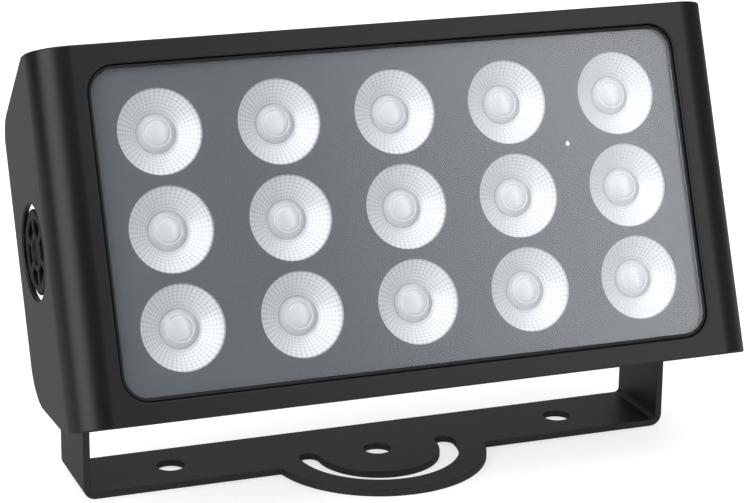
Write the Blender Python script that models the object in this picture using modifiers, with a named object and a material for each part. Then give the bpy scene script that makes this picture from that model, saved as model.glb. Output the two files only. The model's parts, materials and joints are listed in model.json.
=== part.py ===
# LED floodlight on a U yoke, in metres, +Z up, lenses facing -Y.
# The origin is on the underside of the yoke, at the middle of its bar.
# The lamp head is modelled upright about the middle of its height, and parent empties
# hang it on its pivot and tilt it back.
# Depths in the head are measured back from the face of its bezel.

import math

import bmesh
import bpy
from mathutils import Matrix, Vector

# Gap left between pieces that touch
FIT = 0.0003

# Lens grid
LENS_COLUMNS = 5
LENS_ROWS = 3
LENS_PITCH_X = 0.057
LENS_PITCH_Z = 0.0448
WINDOW_RADIUS = 0.02015

# Lens
LENS_LENGTH = 0.0237
LENS_RIM_RADIUS = 0.0208
LENS_RIM_HEIGHT = 0.002
LENS_BELL_RADIUS = 0.0165
LENS_BELL_DEPTH = 0.0095
LENS_BASE_RADIUS = 0.009
DISH_RADIUS = 0.0198
DISH_DEPTH = 0.0074
DISH_FLOOR_RADIUS = 0.009
DOME_RADIUS = 0.0062
DOME_DEPTH = 0.0042
DOME_RISE = 0.0012
EMITTER_POCKET_RADIUS = 0.0045
EMITTER_POCKET_DEPTH = 0.003
EMITTER_RADIUS = 0.003
EMITTER_HEIGHT = 0.0014

# Glass, mask and bezel
GLASS_MARGIN_X = 0.00985
GLASS_MARGIN_Z = 0.00955
GLASS_CORNER = 0.011
GLASS_RECESS = 0.0008
GLASS_THICKNESS = 0.003
MASK_THICKNESS = 0.0013
SEAL_WIDTH = 0.0014
SEAL_RECESS = 0.0014
BEZEL_SIDE = 0.0235
BEZEL_EDGE = 0.0100
LEDGE_WIDTH = 0.0065
LEDGE_THICKNESS = 0.0043
STATUS_LIGHT_RADIUS = 0.0014

# Casing
CASE_DEPTH = 0.078
RIM_DEPTH = 0.024
RIM_THICKNESS = 0.0035
CHEEK_THICKNESS = 0.003
UPRIGHT_CORNER_RADIUS = 0.018
INNER_CORNER_RADIUS = 0.008
TOP_SLOPE = math.radians(24)
BOTTOM_SLOPE = math.radians(18.5)
REAR_TOP_RADIUS = 0.015
REAR_BOTTOM_RADIUS = 0.022
EDGE_RADIUS = 0.0009
KNOB_OPENING_RADIUS = 0.0225

# Rear housing
BOARD_THICKNESS = 0.002
BOARD_MARGIN = 0.002
CHAMBER_CLEARANCE = 0.0015
CHAMBER_WALL = 0.004
BASE_THICKNESS = 0.005
GASKET_THICKNESS = 0.0008
FLANGE_THICKNESS = 0.003
FIN_RECESS = 0.002
FIN_THICKNESS = 0.0022
FIN_PITCH = 0.0101
BAY_HALF_WIDTH = 0.073
BAY_HALF_HEIGHT = 0.0485
BAY_WALL = 0.0035
WIRE_HOLE_RADIUS = 0.005
POST_RADIUS = 0.0045

# Screws
SCREW_RADIUS = 0.0015
SCREW_HEAD_RADIUS = 0.00275
SCREW_HEAD_HEIGHT = 0.0022
SCREW_HEAD_EDGE = 0.0009
CASING_SCREW_LENGTH = 0.0095
CASING_SCREW_EDGE = 0.0037
COVER_SCREW_LENGTH = 0.012

# Rear cover and what it carries
COVER_THICKNESS = 0.003
DISPLAY_X = -0.036
CONTROLS_Z = 0.024
DISPLAY_HALF_WIDTH = 0.022
DISPLAY_HALF_HEIGHT = 0.0075
WINDOW_THICKNESS = 0.0018
DISPLAY_MODULE_DEPTH = 0.0064
BUTTON_NAMES = ("menu_button", "down_button", "up_button", "enter_button")
BUTTON_X = 0.004
BUTTON_PITCH = 0.013
BUTTON_RADIUS = 0.004
BUTTON_RISE = 0.0014
BUTTON_EDGE = 0.0008
BUTTON_FLANGE_RADIUS = 0.0052
BUTTON_FLANGE_THICKNESS = 0.0014
BUTTON_STEM_RADIUS = 0.002
BUTTON_STEM_LENGTH = 0.0018
BUTTON_TRAVEL = 0.0006
SWITCH_HALF_WIDTH = 0.003
CONTROL_BOARD_THICKNESS = 0.0016
CONTROL_BOARD_MARGIN = 0.004
VENT_X = 0.060
VENT_RADIUS = 0.006
VENT_STEM_RADIUS = 0.003
VENT_HEIGHT = 0.002
VENT_EDGE = 0.0009
SOCKETS_Z = -0.024
SOCKET_PITCH = 0.036
SOCKET_HALF_WIDTH = 0.013
SOCKET_HALF_HEIGHT = 0.0155
SOCKET_FLANGE_THICKNESS = 0.002
SOCKET_BODY_RADIUS = 0.0117
SOCKET_BODY_LENGTH = 0.018
SOCKET_CORNER = 0.003
POWER_CAVITY_RADIUS = 0.0098
DATA_CAVITY_RADIUS = 0.0085
CAVITY_DEPTH = 0.015
CONTACT_RADIUS = 0.0012
CONTACT_CIRCLE = 0.0045
CONTACT_LENGTH = 0.011
DRIVER_HALF_WIDTH = 0.062
DRIVER_HEIGHT = 0.050
DRIVER_CLEARANCE = 0.0052
DRIVER_BOTTOM = -0.007

# Safety eye
EYE_ROD_RADIUS = 0.0025
EYE_HALF_WIDTH = 0.015
EYE_CLEARANCE = 0.013
EYE_LEG_LENGTH = 0.012
EYE_BLOCK_SETBACK = 0.008
EYE_BLOCK_MARGIN = 0.005
EYE_BEND_RADIUS = 0.006

# Yoke
YOKE_THICKNESS = 0.0035
YOKE_WIDTH = 0.0436
YOKE_BEND_RADIUS = 0.006
LUG_RADIUS = 0.020
SHOULDER_ANGLE = math.radians(30)
MOUNT_HOLE_RADIUS = 0.00675
CENTRE_HOLE_OFFSET = 0.0123
SIDE_HOLE_X = 0.1025
SLOT_RADIUS = 0.03565
SLOT_WIDTH = 0.0095
NOSE_RADIUS = 0.054
NOSE_FILLET = 0.008

# Pivot and lock knobs
REST_TILT = math.radians(21.9)
PIVOT_DEPTH = 0.0443
PIVOT_DROP = 0.0014
PIVOT_HEIGHT = 0.1214
PIVOT_OFFSET = 0.0107
BOSS_HEIGHT = 0.0028
BOSS_RADIUS = 0.016
INNER_BOSS_RADIUS = 0.011
INNER_BOSS_LENGTH = 0.016
STUD_RADIUS = 0.004
STUD_SEAT_DEPTH = 0.0145
STUD_CHAMFER = 0.0008
BUSH_WALL = 0.0014
BUSH_FLANGE_RADIUS = 0.013
WASHER_THICKNESS = 0.0014
KNOB_RADIUS = 0.020
KNOB_LOBES = 6
KNOB_LOBE_DEPTH = 0.0012
KNOB_RECESS = 0.0011
KNOB_HUB_RADIUS = 0.009
KNOB_RING_WIDTH = 0.0035
KNOB_SPOKE_ANGLE = math.radians(16)
KNOB_POCKET_DEPTH = 0.005
KNOB_CAP_THICKNESS = 0.004
INSERT_WALL = 0.0032

# Roundness
FINE_STEPS = 28
ROUND_STEPS = 18
LENS_STEPS = 16
SMALL_STEPS = 10
CORNER_STEPS = 4
FIN_CORNER_STEPS = 2
TINY_STEPS = 8

# Sizes that follow from the lens grid
grid_half_x = (LENS_COLUMNS - 1) / 2 * LENS_PITCH_X
grid_half_z = (LENS_ROWS - 1) / 2 * LENS_PITCH_Z
glass_half_x = grid_half_x + WINDOW_RADIUS + GLASS_MARGIN_X
glass_half_z = grid_half_z + WINDOW_RADIUS + GLASS_MARGIN_Z
groove = SEAL_WIDTH + 2 * FIT
case_half_x = glass_half_x + groove + BEZEL_SIDE
case_half_z = glass_half_z + groove + BEZEL_EDGE
opening_half_x = glass_half_x - LEDGE_WIDTH
opening_half_z = glass_half_z - LEDGE_WIDTH
chamber_half_x = opening_half_x + CHAMBER_CLEARANCE
chamber_half_z = opening_half_z + CHAMBER_CLEARANCE
body_half_x = chamber_half_x + CHAMBER_WALL
body_half_z = case_half_z - RIM_THICKNESS - FIT
cheek_inner = case_half_x - CHEEK_THICKNESS

# Depths of the layers behind the bezel's face
glass_back = GLASS_RECESS + GLASS_THICKNESS
mask_front = glass_back + FIT
mask_back = mask_front + MASK_THICKNESS
ledge_front = mask_back + FIT
ledge_back = ledge_front + LEDGE_THICKNESS
gasket_front = ledge_back + FIT
body_front = gasket_front + GASKET_THICKNESS + FIT
flange_back = body_front + FLANGE_THICKNESS
lens_back = ledge_front + LENS_LENGTH
board_front = lens_back + FIT
base_front = board_front + BOARD_THICKNESS + FIT
base_back = base_front + BASE_THICKNESS
body_depth = CASE_DEPTH - FIN_RECESS
cover_back = body_depth - 2 * FIT
cover_front = cover_back - COVER_THICKNESS
bay_rim = cover_front - GASKET_THICKNESS - 2 * FIT
fitting_seat = cover_back + FIT
eye_block_back = body_depth - EYE_BLOCK_SETBACK

# Distances from the middle of the lamp out along the pivot axis
boss_face = body_half_x + BOSS_HEIGHT
bush_seat = boss_face + FIT
arm_inner = bush_seat + BUSH_WALL + FIT
arm_outer = arm_inner + YOKE_THICKNESS
washer_seat = arm_outer + FIT
knob_seat = washer_seat + WASHER_THICKNESS + FIT
knob_face = case_half_x - KNOB_RECESS
insert_face = knob_face - KNOB_CAP_THICKNESS - FIT
stud_end = insert_face - YOKE_THICKNESS / 2
shaft_hole = STUD_RADIUS + FIT
arm_hole = shaft_hole + BUSH_WALL + FIT
insert_radius = shaft_hole + INSERT_WALL

# Facing of turned pieces, whose profiles stand on their own Z axis
FACING_FRONT = (math.radians(90), 0, 0)
FACING_BACK = (math.radians(-90), 0, 0)
SIDES = (("left", -1), ("right", 1))

# Planes in which an outline lies, with the way that it is thickened
PLANE_XY = Matrix.Identity(4)
PLANE_XZ = Matrix(((1, 0, 0, 0), (0, 0, -1, 0), (0, 1, 0, 0), (0, 0, 0, 1)))
PLANE_YZ = Matrix(((0, 0, 1, 0), (1, 0, 0, 0), (0, 1, 0, 0), (0, 0, 0, 1)))


def clear_scene():
    for obj in list(bpy.data.objects):
        bpy.data.objects.remove(obj, do_unlink=True)


def new_collection(name):
    collection = bpy.data.collections.new(name)
    bpy.context.scene.collection.children.link(collection)
    return collection


def new_material(name, color, roughness, metallic=0.0):
    material = bpy.data.materials.new(name)
    material.use_nodes = True
    shader = material.node_tree.nodes["Principled BSDF"]
    shader.inputs["Base Color"].default_value = (*color, 1.0)
    shader.inputs["Roughness"].default_value = roughness
    shader.inputs["Metallic"].default_value = metallic
    return material


clear_scene()
parts = new_collection("floodlight")
cutters = new_collection("cutters")

BLACK_CASTING = new_material("black casting", (0.014, 0.0145, 0.016), 0.36)
BLACK_STEEL = new_material("black steel", (0.02, 0.021, 0.022), 0.42)
BLACK_PLASTIC = new_material("black plastic", (0.012, 0.0125, 0.014), 0.4)
DARK_MASK = new_material("dark mask", (0.09, 0.095, 0.11), 0.35)
CLEAR_GLASS = new_material("clear glass", (0.6, 0.65, 0.7), 0.05)
LENS_PLASTIC = new_material("lens plastic", (0.88, 0.89, 0.91), 0.25)
RUBBER = new_material("rubber", (0.015, 0.015, 0.017), 0.7)
BOARD_WHITE = new_material("white board", (0.8, 0.8, 0.78), 0.4)
BOARD_GREEN = new_material("green board", (0.02, 0.16, 0.07), 0.4)
ALUMINIUM = new_material("aluminium", (0.72, 0.73, 0.74), 0.35, 1.0)
STEEL = new_material("zinc steel", (0.6, 0.6, 0.6), 0.3, 1.0)
BRASS = new_material("brass", (0.78, 0.6, 0.28), 0.3, 1.0)
NYLON = new_material("white nylon", (0.75, 0.74, 0.7), 0.5)
BLUE_PLASTIC = new_material("blue plastic", (0.03, 0.12, 0.5), 0.4)
GREY_PLASTIC = new_material("grey plastic", (0.45, 0.46, 0.47), 0.4)


def at(depth):
    # Place along Y, in the head's frame, of a depth behind the bezel's face
    return depth - PIVOT_DEPTH


def new_part(name, mesh, material, parent=None, location=(0, 0, 0), rotation=(0, 0, 0)):
    obj = bpy.data.objects.new(name, mesh)
    parts.objects.link(obj)
    obj.parent = parent
    obj.location = location
    obj.rotation_euler = rotation
    if not mesh.materials:
        mesh.materials.append(material)
    return obj


def new_tool(name, mesh, parent=None, location=(0, 0, 0), rotation=(0, 0, 0)):
    obj = bpy.data.objects.new(name, mesh)
    cutters.objects.link(obj)
    obj.parent = parent
    obj.location = location
    obj.rotation_euler = rotation
    obj.hide_render = True
    obj.display_type = "WIRE"
    return obj


def combine(target, tool, operation):
    modifier = target.modifiers.new(tool.name, "BOOLEAN")
    modifier.object = tool
    modifier.operation = operation
    modifier.solver = "EXACT"


def cut(target, tool):
    combine(target, tool, "DIFFERENCE")


def fuse(target, tool):
    combine(target, tool, "UNION")


def mesh_from(name, bm):
    mesh = bpy.data.meshes.new(name)
    bm.to_mesh(mesh)
    bm.free()
    mesh.shade_smooth()
    mesh.set_sharp_from_angle(angle=math.radians(35))
    return mesh


def add_box(bm, low, high):
    size = [h - l for l, h in zip(low, high)]
    middle = [(l + h) / 2 for l, h in zip(low, high)]
    matrix = Matrix.Translation(middle) @ Matrix.Diagonal((*size, 1))
    bmesh.ops.create_cube(bm, size=1, matrix=matrix)


def boxes(name, *corner_pairs):
    bm = bmesh.new()
    for low, high in corner_pairs:
        add_box(bm, low, high)
    return mesh_from(name, bm)


def rods(name, radius, length, placings, steps=ROUND_STEPS):
    # Cylinders of one size, each standing on its own middle and turned by its matrix
    bm = bmesh.new()
    for placing in placings:
        bmesh.ops.create_cone(
            bm, cap_ends=True, segments=steps, radius1=radius, radius2=radius,
            depth=length, matrix=placing,
        )
    return mesh_from(name, bm)


def along_x(x, y, z):
    return Matrix.Translation((x, y, z)) @ Matrix.Rotation(math.radians(90), 4, "Y")


def along_y(x, y, z):
    return Matrix.Translation((x, y, z)) @ Matrix.Rotation(math.radians(90), 4, "X")


def along_z(x, y, z):
    return Matrix.Translation((x, y, z))


def arc(centre, radius, start, end, steps):
    points = []
    for step in range(steps + 1):
        angle = start + (end - start) * step / steps
        points.append((centre[0] + radius * math.cos(angle), centre[1] + radius * math.sin(angle)))
    return points


def circle(centre, radius, steps):
    return arc(centre, radius, 0, math.tau, steps)[:-1]


def rounded_outline(corners, steps=CORNER_STEPS):
    # Outline through corners given as (a, b, radius), each rounded by a tangent arc
    points = []
    for index, (a, b, radius) in enumerate(corners):
        corner = Vector((a, b))
        if radius == 0:
            points.append((a, b))
            continue
        before = (Vector(corners[index - 1][:2]) - corner).normalized()
        after = (Vector(corners[(index + 1) % len(corners)][:2]) - corner).normalized()
        half_angle = before.angle(after) / 2
        centre = corner + (before + after).normalized() * radius / math.sin(half_angle)
        first = corner + before * radius / math.tan(half_angle) - centre
        last = corner + after * radius / math.tan(half_angle) - centre
        start = math.atan2(first.y, first.x)
        sweep = (math.atan2(last.y, last.x) - start + math.pi) % math.tau - math.pi
        points += arc(centre, radius, start, start + sweep, steps)
    return points


def rounded_rectangle(half_a, half_b, radius, steps=CORNER_STEPS):
    signs = ((-1, -1), (1, -1), (1, 1), (-1, 1))
    return rounded_outline([(a * half_a, b * half_b, radius) for a, b in signs], steps)


def outline_mesh(name, plane, low, high, *outlines):
    # Flat outlines, holes included, thickened from low to high across their plane
    curve = bpy.data.curves.new(name, "CURVE")
    curve.dimensions = "2D"
    curve.fill_mode = "BOTH"
    curve.extrude = (high - low) / 2
    for outline in outlines:
        spline = curve.splines.new("POLY")
        spline.points.add(len(outline) - 1)
        for point, (a, b) in zip(spline.points, outline):
            point.co = (a, b, 0, 1)
        spline.use_cyclic_u = True
    carrier = bpy.data.objects.new(name, curve)
    bpy.context.scene.collection.objects.link(carrier)
    bpy.context.view_layer.update()
    evaluated = carrier.evaluated_get(bpy.context.evaluated_depsgraph_get())
    mesh = bpy.data.meshes.new_from_object(evaluated)
    bpy.data.objects.remove(carrier, do_unlink=True)
    bm = bmesh.new()
    bm.from_mesh(mesh)
    bpy.data.meshes.remove(mesh)
    bmesh.ops.remove_doubles(bm, verts=bm.verts, dist=0.00001)
    bmesh.ops.dissolve_limit(bm, angle_limit=0.001, verts=bm.verts, edges=bm.edges)
    middle = plane @ Vector((0, 0, (high + low) / 2))
    if plane == PLANE_XZ:
        # Depths in this plane count towards +Y
        middle = -middle
    bmesh.ops.transform(bm, matrix=Matrix.Translation(middle) @ plane, verts=bm.verts)
    bmesh.ops.recalc_face_normals(bm, faces=bm.faces)
    return mesh_from(name, bm)


def profile_mesh(name, profile, closed=False):
    # Profile of (radius, height) points, running down the outer side
    bm = bmesh.new()
    verts = [bm.verts.new((radius, 0, height)) for radius, height in profile]
    for first, second in zip(verts, verts[1:]):
        bm.edges.new((first, second))
    if closed:
        bm.edges.new((verts[-1], verts[0]))
    return mesh_from(name, bm)


def spin(obj, steps):
    screw = obj.modifiers.new("turn", "SCREW")
    screw.axis = "Z"
    screw.steps = steps
    screw.render_steps = steps
    screw.use_merge_vertices = True
    screw.merge_threshold = 0.00001
    screw.use_smooth_shade = True


def turned(name, profile, material, parent, location, rotation, steps=ROUND_STEPS, closed=False):
    mesh = profile_mesh(name, profile, closed)
    obj = new_part(name, mesh, material, parent, location, rotation)
    spin(obj, steps)
    return obj


def lens_positions():
    for row in range(LENS_ROWS):
        for column in range(LENS_COLUMNS):
            x = column * LENS_PITCH_X - grid_half_x
            z = grid_half_z - row * LENS_PITCH_Z
            yield f"{row + 1}{column + 1}", x, z


def side_outline(half_height, depth, front=0.0, steps=CORNER_STEPS):
    # Side view of the head, in the head's Y and Z
    reach = depth - RIM_DEPTH
    rear_top = half_height - reach * math.tan(TOP_SLOPE)
    rear_bottom = -half_height + reach * math.tan(BOTTOM_SLOPE)
    corners = [
        (at(front), -half_height, 0),
        (at(RIM_DEPTH), -half_height, 0),
        (at(depth), rear_bottom, REAR_BOTTOM_RADIUS),
        (at(depth), rear_top, REAR_TOP_RADIUS),
        (at(RIM_DEPTH), half_height, 0),
        (at(front), half_height, 0),
    ]
    return rounded_outline(corners, steps)


def status_light_place():
    # Between the last two columns, halfway between the top two rows
    return grid_half_x - LENS_PITCH_X / 2, grid_half_z - LENS_PITCH_Z / 2


def slot_layout(low, high):
    # Middles and half width of the slots that leave even fins between two walls
    count = max(1, int((high - low) / FIN_PITCH))
    pitch = (high - low) / count
    half_width = (pitch - FIN_THICKNESS) / 2
    middles = [low + (index + 0.5) * pitch for index in range(count)]
    return middles, half_width


def side_slots():
    return slot_layout(BAY_HALF_WIDTH + BAY_WALL, chamber_half_x)


def casing_screw_places():
    # The screws stand at the bottom of a slot, where a driver reaches them
    middles, _ = side_slots()
    x = middles[len(middles) // 2]
    z = body_half_z - CASING_SCREW_EDGE
    return [(a * x, b * z) for b in (1, -1) for a in (-1, 1)]


def cover_screw_places():
    x = BAY_HALF_WIDTH - POST_RADIUS + FIT
    z = BAY_HALF_HEIGHT - POST_RADIUS + FIT
    return [(a * x, b * z) for b in (1, -1) for a in (-1, 1)]


def round_uprights(mesh, half_x, front, radius, steps):
    bm = bmesh.new()
    bm.from_mesh(mesh)
    uprights = []
    for edge in bm.edges:
        one, other = (vert.co for vert in edge.verts)
        upright = abs(one.x - other.x) < FIT and abs(abs(one.x) - half_x) < FIT
        if upright and abs(one.y - front) < FIT and abs(other.y - front) < FIT:
            uprights.append(edge)
    bmesh.ops.bevel(
        bm, geom=uprights, offset=radius, segments=steps, profile=0.5, affect="EDGES",
    )
    bm.to_mesh(mesh)
    bm.free()


def front_casing(head, axis):
    outline = side_outline(case_half_z, CASE_DEPTH)
    mesh = outline_mesh("front_casing", PLANE_YZ, -case_half_x, case_half_x, outline)
    round_uprights(mesh, case_half_x, at(0), UPRIGHT_CORNER_RADIUS, 8)
    casing = new_part("front_casing", mesh, BLACK_CASTING, head)
    edges = casing.modifiers.new("edges", "BEVEL")
    edges.width = EDGE_RADIUS
    edges.segments = 1
    edges.limit_method = "ANGLE"
    edges.angle_limit = math.radians(60)

    beyond = at(CASE_DEPTH) + CASE_DEPTH
    above = case_half_z + RIM_THICKNESS
    rim_half_z = case_half_z - RIM_THICKNESS
    inside = boxes(
        "casing inside",
        ((-cheek_inner, at(ledge_back), -rim_half_z), (cheek_inner, beyond, rim_half_z)),
    )
    round_uprights(inside, cheek_inner, at(ledge_back), INNER_CORNER_RADIUS, 3)
    cut(casing, new_tool("casing inside", inside, head))
    behind = boxes(
        "behind the rim",
        ((-cheek_inner, at(RIM_DEPTH), -above), (cheek_inner, beyond, above)),
    )
    cut(casing, new_tool("behind the rim", behind, head))
    pocket = rounded_rectangle(glass_half_x + groove, glass_half_z + groove, GLASS_CORNER + groove)
    pocket = outline_mesh("glass pocket", PLANE_XZ, at(-FIN_RECESS), at(ledge_front), pocket)
    cut(casing, new_tool("glass pocket", pocket, head))
    light = rounded_rectangle(opening_half_x, opening_half_z, GLASS_CORNER)
    light = outline_mesh("light opening", PLANE_XZ, at(0), at(ledge_back + RIM_THICKNESS), light)
    cut(casing, new_tool("light opening", light, head))

    notch_inner = arm_inner - BOSS_HEIGHT
    notches = boxes(
        "arm notches",
        *(
            (
                (min(side * notch_inner, side * cheek_inner), at(flange_back), -above),
                (max(side * notch_inner, side * cheek_inner), at(RIM_DEPTH + FIT), -rim_half_z + FIT),
            )
            for _, side in SIDES
        ),
    )
    cut(casing, new_tool("arm notches", notches, head))
    hubs = rods(
        "knob openings", KNOB_OPENING_RADIUS, 3 * CHEEK_THICKNESS,
        [along_x(side * (case_half_x - CHEEK_THICKNESS / 2), 0, 0) for _, side in SIDES],
        FINE_STEPS,
    )
    cut(casing, new_tool("knob openings", hubs, axis))
    depth = CASING_SCREW_LENGTH - (flange_back - ledge_back)
    holes = rods(
        "casing screw holes", SCREW_RADIUS + FIT, 2 * depth,
        [along_y(x, at(ledge_back), z) for x, z in casing_screw_places()],
        SMALL_STEPS,
    )
    cut(casing, new_tool("casing screw holes", holes, head))


def front_glass(head):
    outline = rounded_rectangle(glass_half_x, glass_half_z, GLASS_CORNER)
    mesh = outline_mesh("front_glass", PLANE_XZ, at(GLASS_RECESS), at(glass_back), outline)
    new_part("front_glass", mesh, CLEAR_GLASS, head)


def glass_seal(head):
    inner = rounded_rectangle(glass_half_x + FIT, glass_half_z + FIT, GLASS_CORNER + FIT)
    outer_offset = FIT + SEAL_WIDTH
    outer = rounded_rectangle(
        glass_half_x + outer_offset, glass_half_z + outer_offset, GLASS_CORNER + outer_offset,
    )
    mesh = outline_mesh("glass_seal", PLANE_XZ, at(SEAL_RECESS), at(mask_back), outer, inner)
    new_part("glass_seal", mesh, RUBBER, head)


def lens_mask(head):
    edge = rounded_rectangle(glass_half_x, glass_half_z, GLASS_CORNER)
    windows = [circle((x, z), WINDOW_RADIUS, ROUND_STEPS) for _, x, z in lens_positions()]
    light = circle(status_light_place(), STATUS_LIGHT_RADIUS + FIT, SMALL_STEPS)
    mesh = outline_mesh(
        "lens_mask", PLANE_XZ, at(mask_front), at(mask_back), edge, *windows, light,
    )
    new_part("lens_mask", mesh, DARK_MASK, head)


def lenses(head):
    profile = [
        (0, DOME_RISE - DOME_DEPTH),
        (DOME_RADIUS, -DOME_DEPTH),
        (DISH_FLOOR_RADIUS, -DISH_DEPTH),
        (DISH_RADIUS, 0),
        (LENS_RIM_RADIUS, 0),
        (LENS_RIM_RADIUS, -LENS_RIM_HEIGHT),
        (LENS_BELL_RADIUS, -LENS_BELL_DEPTH),
        (LENS_BASE_RADIUS, -LENS_LENGTH),
        (EMITTER_POCKET_RADIUS, -LENS_LENGTH),
        (EMITTER_POCKET_RADIUS, EMITTER_POCKET_DEPTH - LENS_LENGTH),
        (0, EMITTER_POCKET_DEPTH - LENS_LENGTH),
    ]
    mesh = profile_mesh("lens", profile)
    for label, x, z in lens_positions():
        lens = new_part(
            f"lens_{label}", mesh, LENS_PLASTIC, head, (x, at(ledge_front), z), FACING_FRONT,
        )
        spin(lens, LENS_STEPS)


def led_board(head):
    half_x = chamber_half_x - BOARD_MARGIN
    half_z = chamber_half_z - BOARD_MARGIN
    back = board_front + BOARD_THICKNESS
    mesh = boxes("led_board", ((-half_x, at(board_front), -half_z), (half_x, at(back), half_z)))
    board = new_part("led_board", mesh, BOARD_WHITE, head)
    emitters = rods(
        "emitters", EMITTER_RADIUS, EMITTER_HEIGHT + BOARD_THICKNESS,
        [along_y(x, at(board_front + (BOARD_THICKNESS - EMITTER_HEIGHT) / 2 - FIT / 2), z)
         for _, x, z in lens_positions()],
        TINY_STEPS,
    )
    fuse(board, new_tool("emitters", emitters, head))


def status_light(head):
    x, z = status_light_place()
    length = board_front - FIT - mask_front
    profile = [
        (0, 0), (STATUS_LIGHT_RADIUS, 0), (STATUS_LIGHT_RADIUS, -length), (0, -length),
    ]
    turned(
        "status_light", profile, LENS_PLASTIC, head, (x, at(mask_front), z), FACING_FRONT,
        SMALL_STEPS,
    )


def casing_gasket(head):
    outer = rounded_rectangle(body_half_x - FIT, body_half_z - FIT, SEAL_WIDTH)
    inner = rounded_rectangle(chamber_half_x + FIT, chamber_half_z + FIT, SEAL_WIDTH)
    holes = [circle(place, SCREW_RADIUS + FIT, SMALL_STEPS) for place in casing_screw_places()]
    mesh = outline_mesh(
        "casing_gasket", PLANE_XZ, at(gasket_front), at(gasket_front + GASKET_THICKNESS),
        outer, inner, *holes,
    )
    new_part("casing_gasket", mesh, RUBBER, head)


def casing_screws(head):
    length = CASING_SCREW_LENGTH
    profile = screw_profile(length - FIT)
    mesh = profile_mesh("casing_screw", profile)
    for number, (x, z) in enumerate(casing_screw_places(), 1):
        place = (x, at(flange_back + FIT), z)
        screw = new_part(f"casing_screw_{number}", mesh, STEEL, head, place, FACING_BACK)
        spin(screw, SMALL_STEPS)


def screw_profile(length):
    return [
        (0, SCREW_HEAD_HEIGHT),
        (SCREW_HEAD_RADIUS - SCREW_HEAD_EDGE, SCREW_HEAD_HEIGHT),
        (SCREW_HEAD_RADIUS, SCREW_HEAD_HEIGHT - SCREW_HEAD_EDGE),
        (SCREW_HEAD_RADIUS, 0),
        (SCREW_RADIUS, 0),
        (SCREW_RADIUS, -length),
        (0, -length),
    ]


def rear_housing(head, axis):
    outline = side_outline(body_half_z, body_depth, body_front, FIN_CORNER_STEPS)
    mesh = outline_mesh("rear_housing", PLANE_YZ, -body_half_x, body_half_x, outline)
    housing = new_part("rear_housing", mesh, BLACK_CASTING, head)

    beyond = at(body_depth) + body_depth
    above = body_half_z + RIM_THICKNESS
    wall_z = chamber_half_z + CHAMBER_WALL
    bay_x = BAY_HALF_WIDTH + BAY_WALL
    bay_z = BAY_HALF_HEIGHT + BAY_WALL
    side_slot = [
        (at(flange_back), above), (at(flange_back), wall_z), (at(base_back), wall_z),
        (at(base_back), -wall_z), (at(flange_back), -wall_z), (at(flange_back), -above),
        (beyond, -above), (beyond, above),
    ]
    middles, half_width = side_slots()
    for _, side in SIDES:
        for index, middle in enumerate(middles):
            name = f"side slot {side * (index + 1)}"
            slot = outline_mesh(
                name, PLANE_YZ, side * middle - half_width, side * middle + half_width, side_slot,
            )
            cut(housing, new_tool(name, slot, head))
    middles, half_width = slot_layout(-bay_x + FIN_THICKNESS / 2, bay_x - FIN_THICKNESS / 2)
    for side in (-1, 1):
        middle_slot = [
            (at(flange_back), side * above), (at(flange_back), side * wall_z),
            (at(base_back), side * wall_z), (at(base_back), side * bay_z),
            (beyond, side * bay_z), (beyond, side * above),
        ]
        for index, middle in enumerate(middles):
            name = f"middle slot {side * (index + 1)}"
            slot = outline_mesh(name, PLANE_YZ, middle - half_width, middle + half_width, middle_slot)
            cut(housing, new_tool(name, slot, head))

    chamber = boxes(
        "light chamber",
        (
            (-chamber_half_x, at(0), -chamber_half_z),
            (chamber_half_x, at(base_front), chamber_half_z),
        ),
    )
    cut(housing, new_tool("light chamber", chamber, head))
    bay = boxes(
        "driver bay",
        (
            (-BAY_HALF_WIDTH, at(base_back), -BAY_HALF_HEIGHT),
            (BAY_HALF_WIDTH, beyond, BAY_HALF_HEIGHT),
        ),
    )
    cut(housing, new_tool("driver bay", bay, head))
    post_length = bay_rim - base_back
    posts = rods(
        "cover posts", POST_RADIUS, post_length + BASE_THICKNESS,
        [along_y(x, at(base_back + (post_length - BASE_THICKNESS) / 2), z)
         for x, z in cover_screw_places()],
        SMALL_STEPS,
    )
    fuse(housing, new_tool("cover posts", posts, head))
    rim = boxes("cover seat", ((-bay_x, at(bay_rim), -bay_z), (bay_x, beyond, bay_z)))
    cut(housing, new_tool("cover seat", rim, head))
    add_eye_block(housing, head, bay_z)
    add_pivot_bosses(housing, axis)

    wire_hole = rods(
        "wire hole", WIRE_HOLE_RADIUS, 3 * BASE_THICKNESS,
        [along_y(0, at((base_front + base_back) / 2), 0)], SMALL_STEPS,
    )
    cut(housing, new_tool("wire hole", wire_hole, head))
    holes = rods(
        "flange holes", SCREW_RADIUS + FIT, 3 * FLANGE_THICKNESS,
        [along_y(x, at(body_front), z) for x, z in casing_screw_places()], SMALL_STEPS,
    )
    cut(housing, new_tool("flange holes", holes, head))
    holes = rods(
        "cover screw holes", SCREW_RADIUS + FIT, 2 * COVER_SCREW_LENGTH,
        [along_y(x, at(cover_back), z) for x, z in cover_screw_places()], SMALL_STEPS,
    )
    cut(housing, new_tool("cover screw holes", holes, head))


def eye_place():
    # Height of the safety eye's legs, in the fins above the driver bay
    return BAY_HALF_HEIGHT + BAY_WALL + EYE_ROD_RADIUS + EYE_BLOCK_MARGIN / 2


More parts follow.
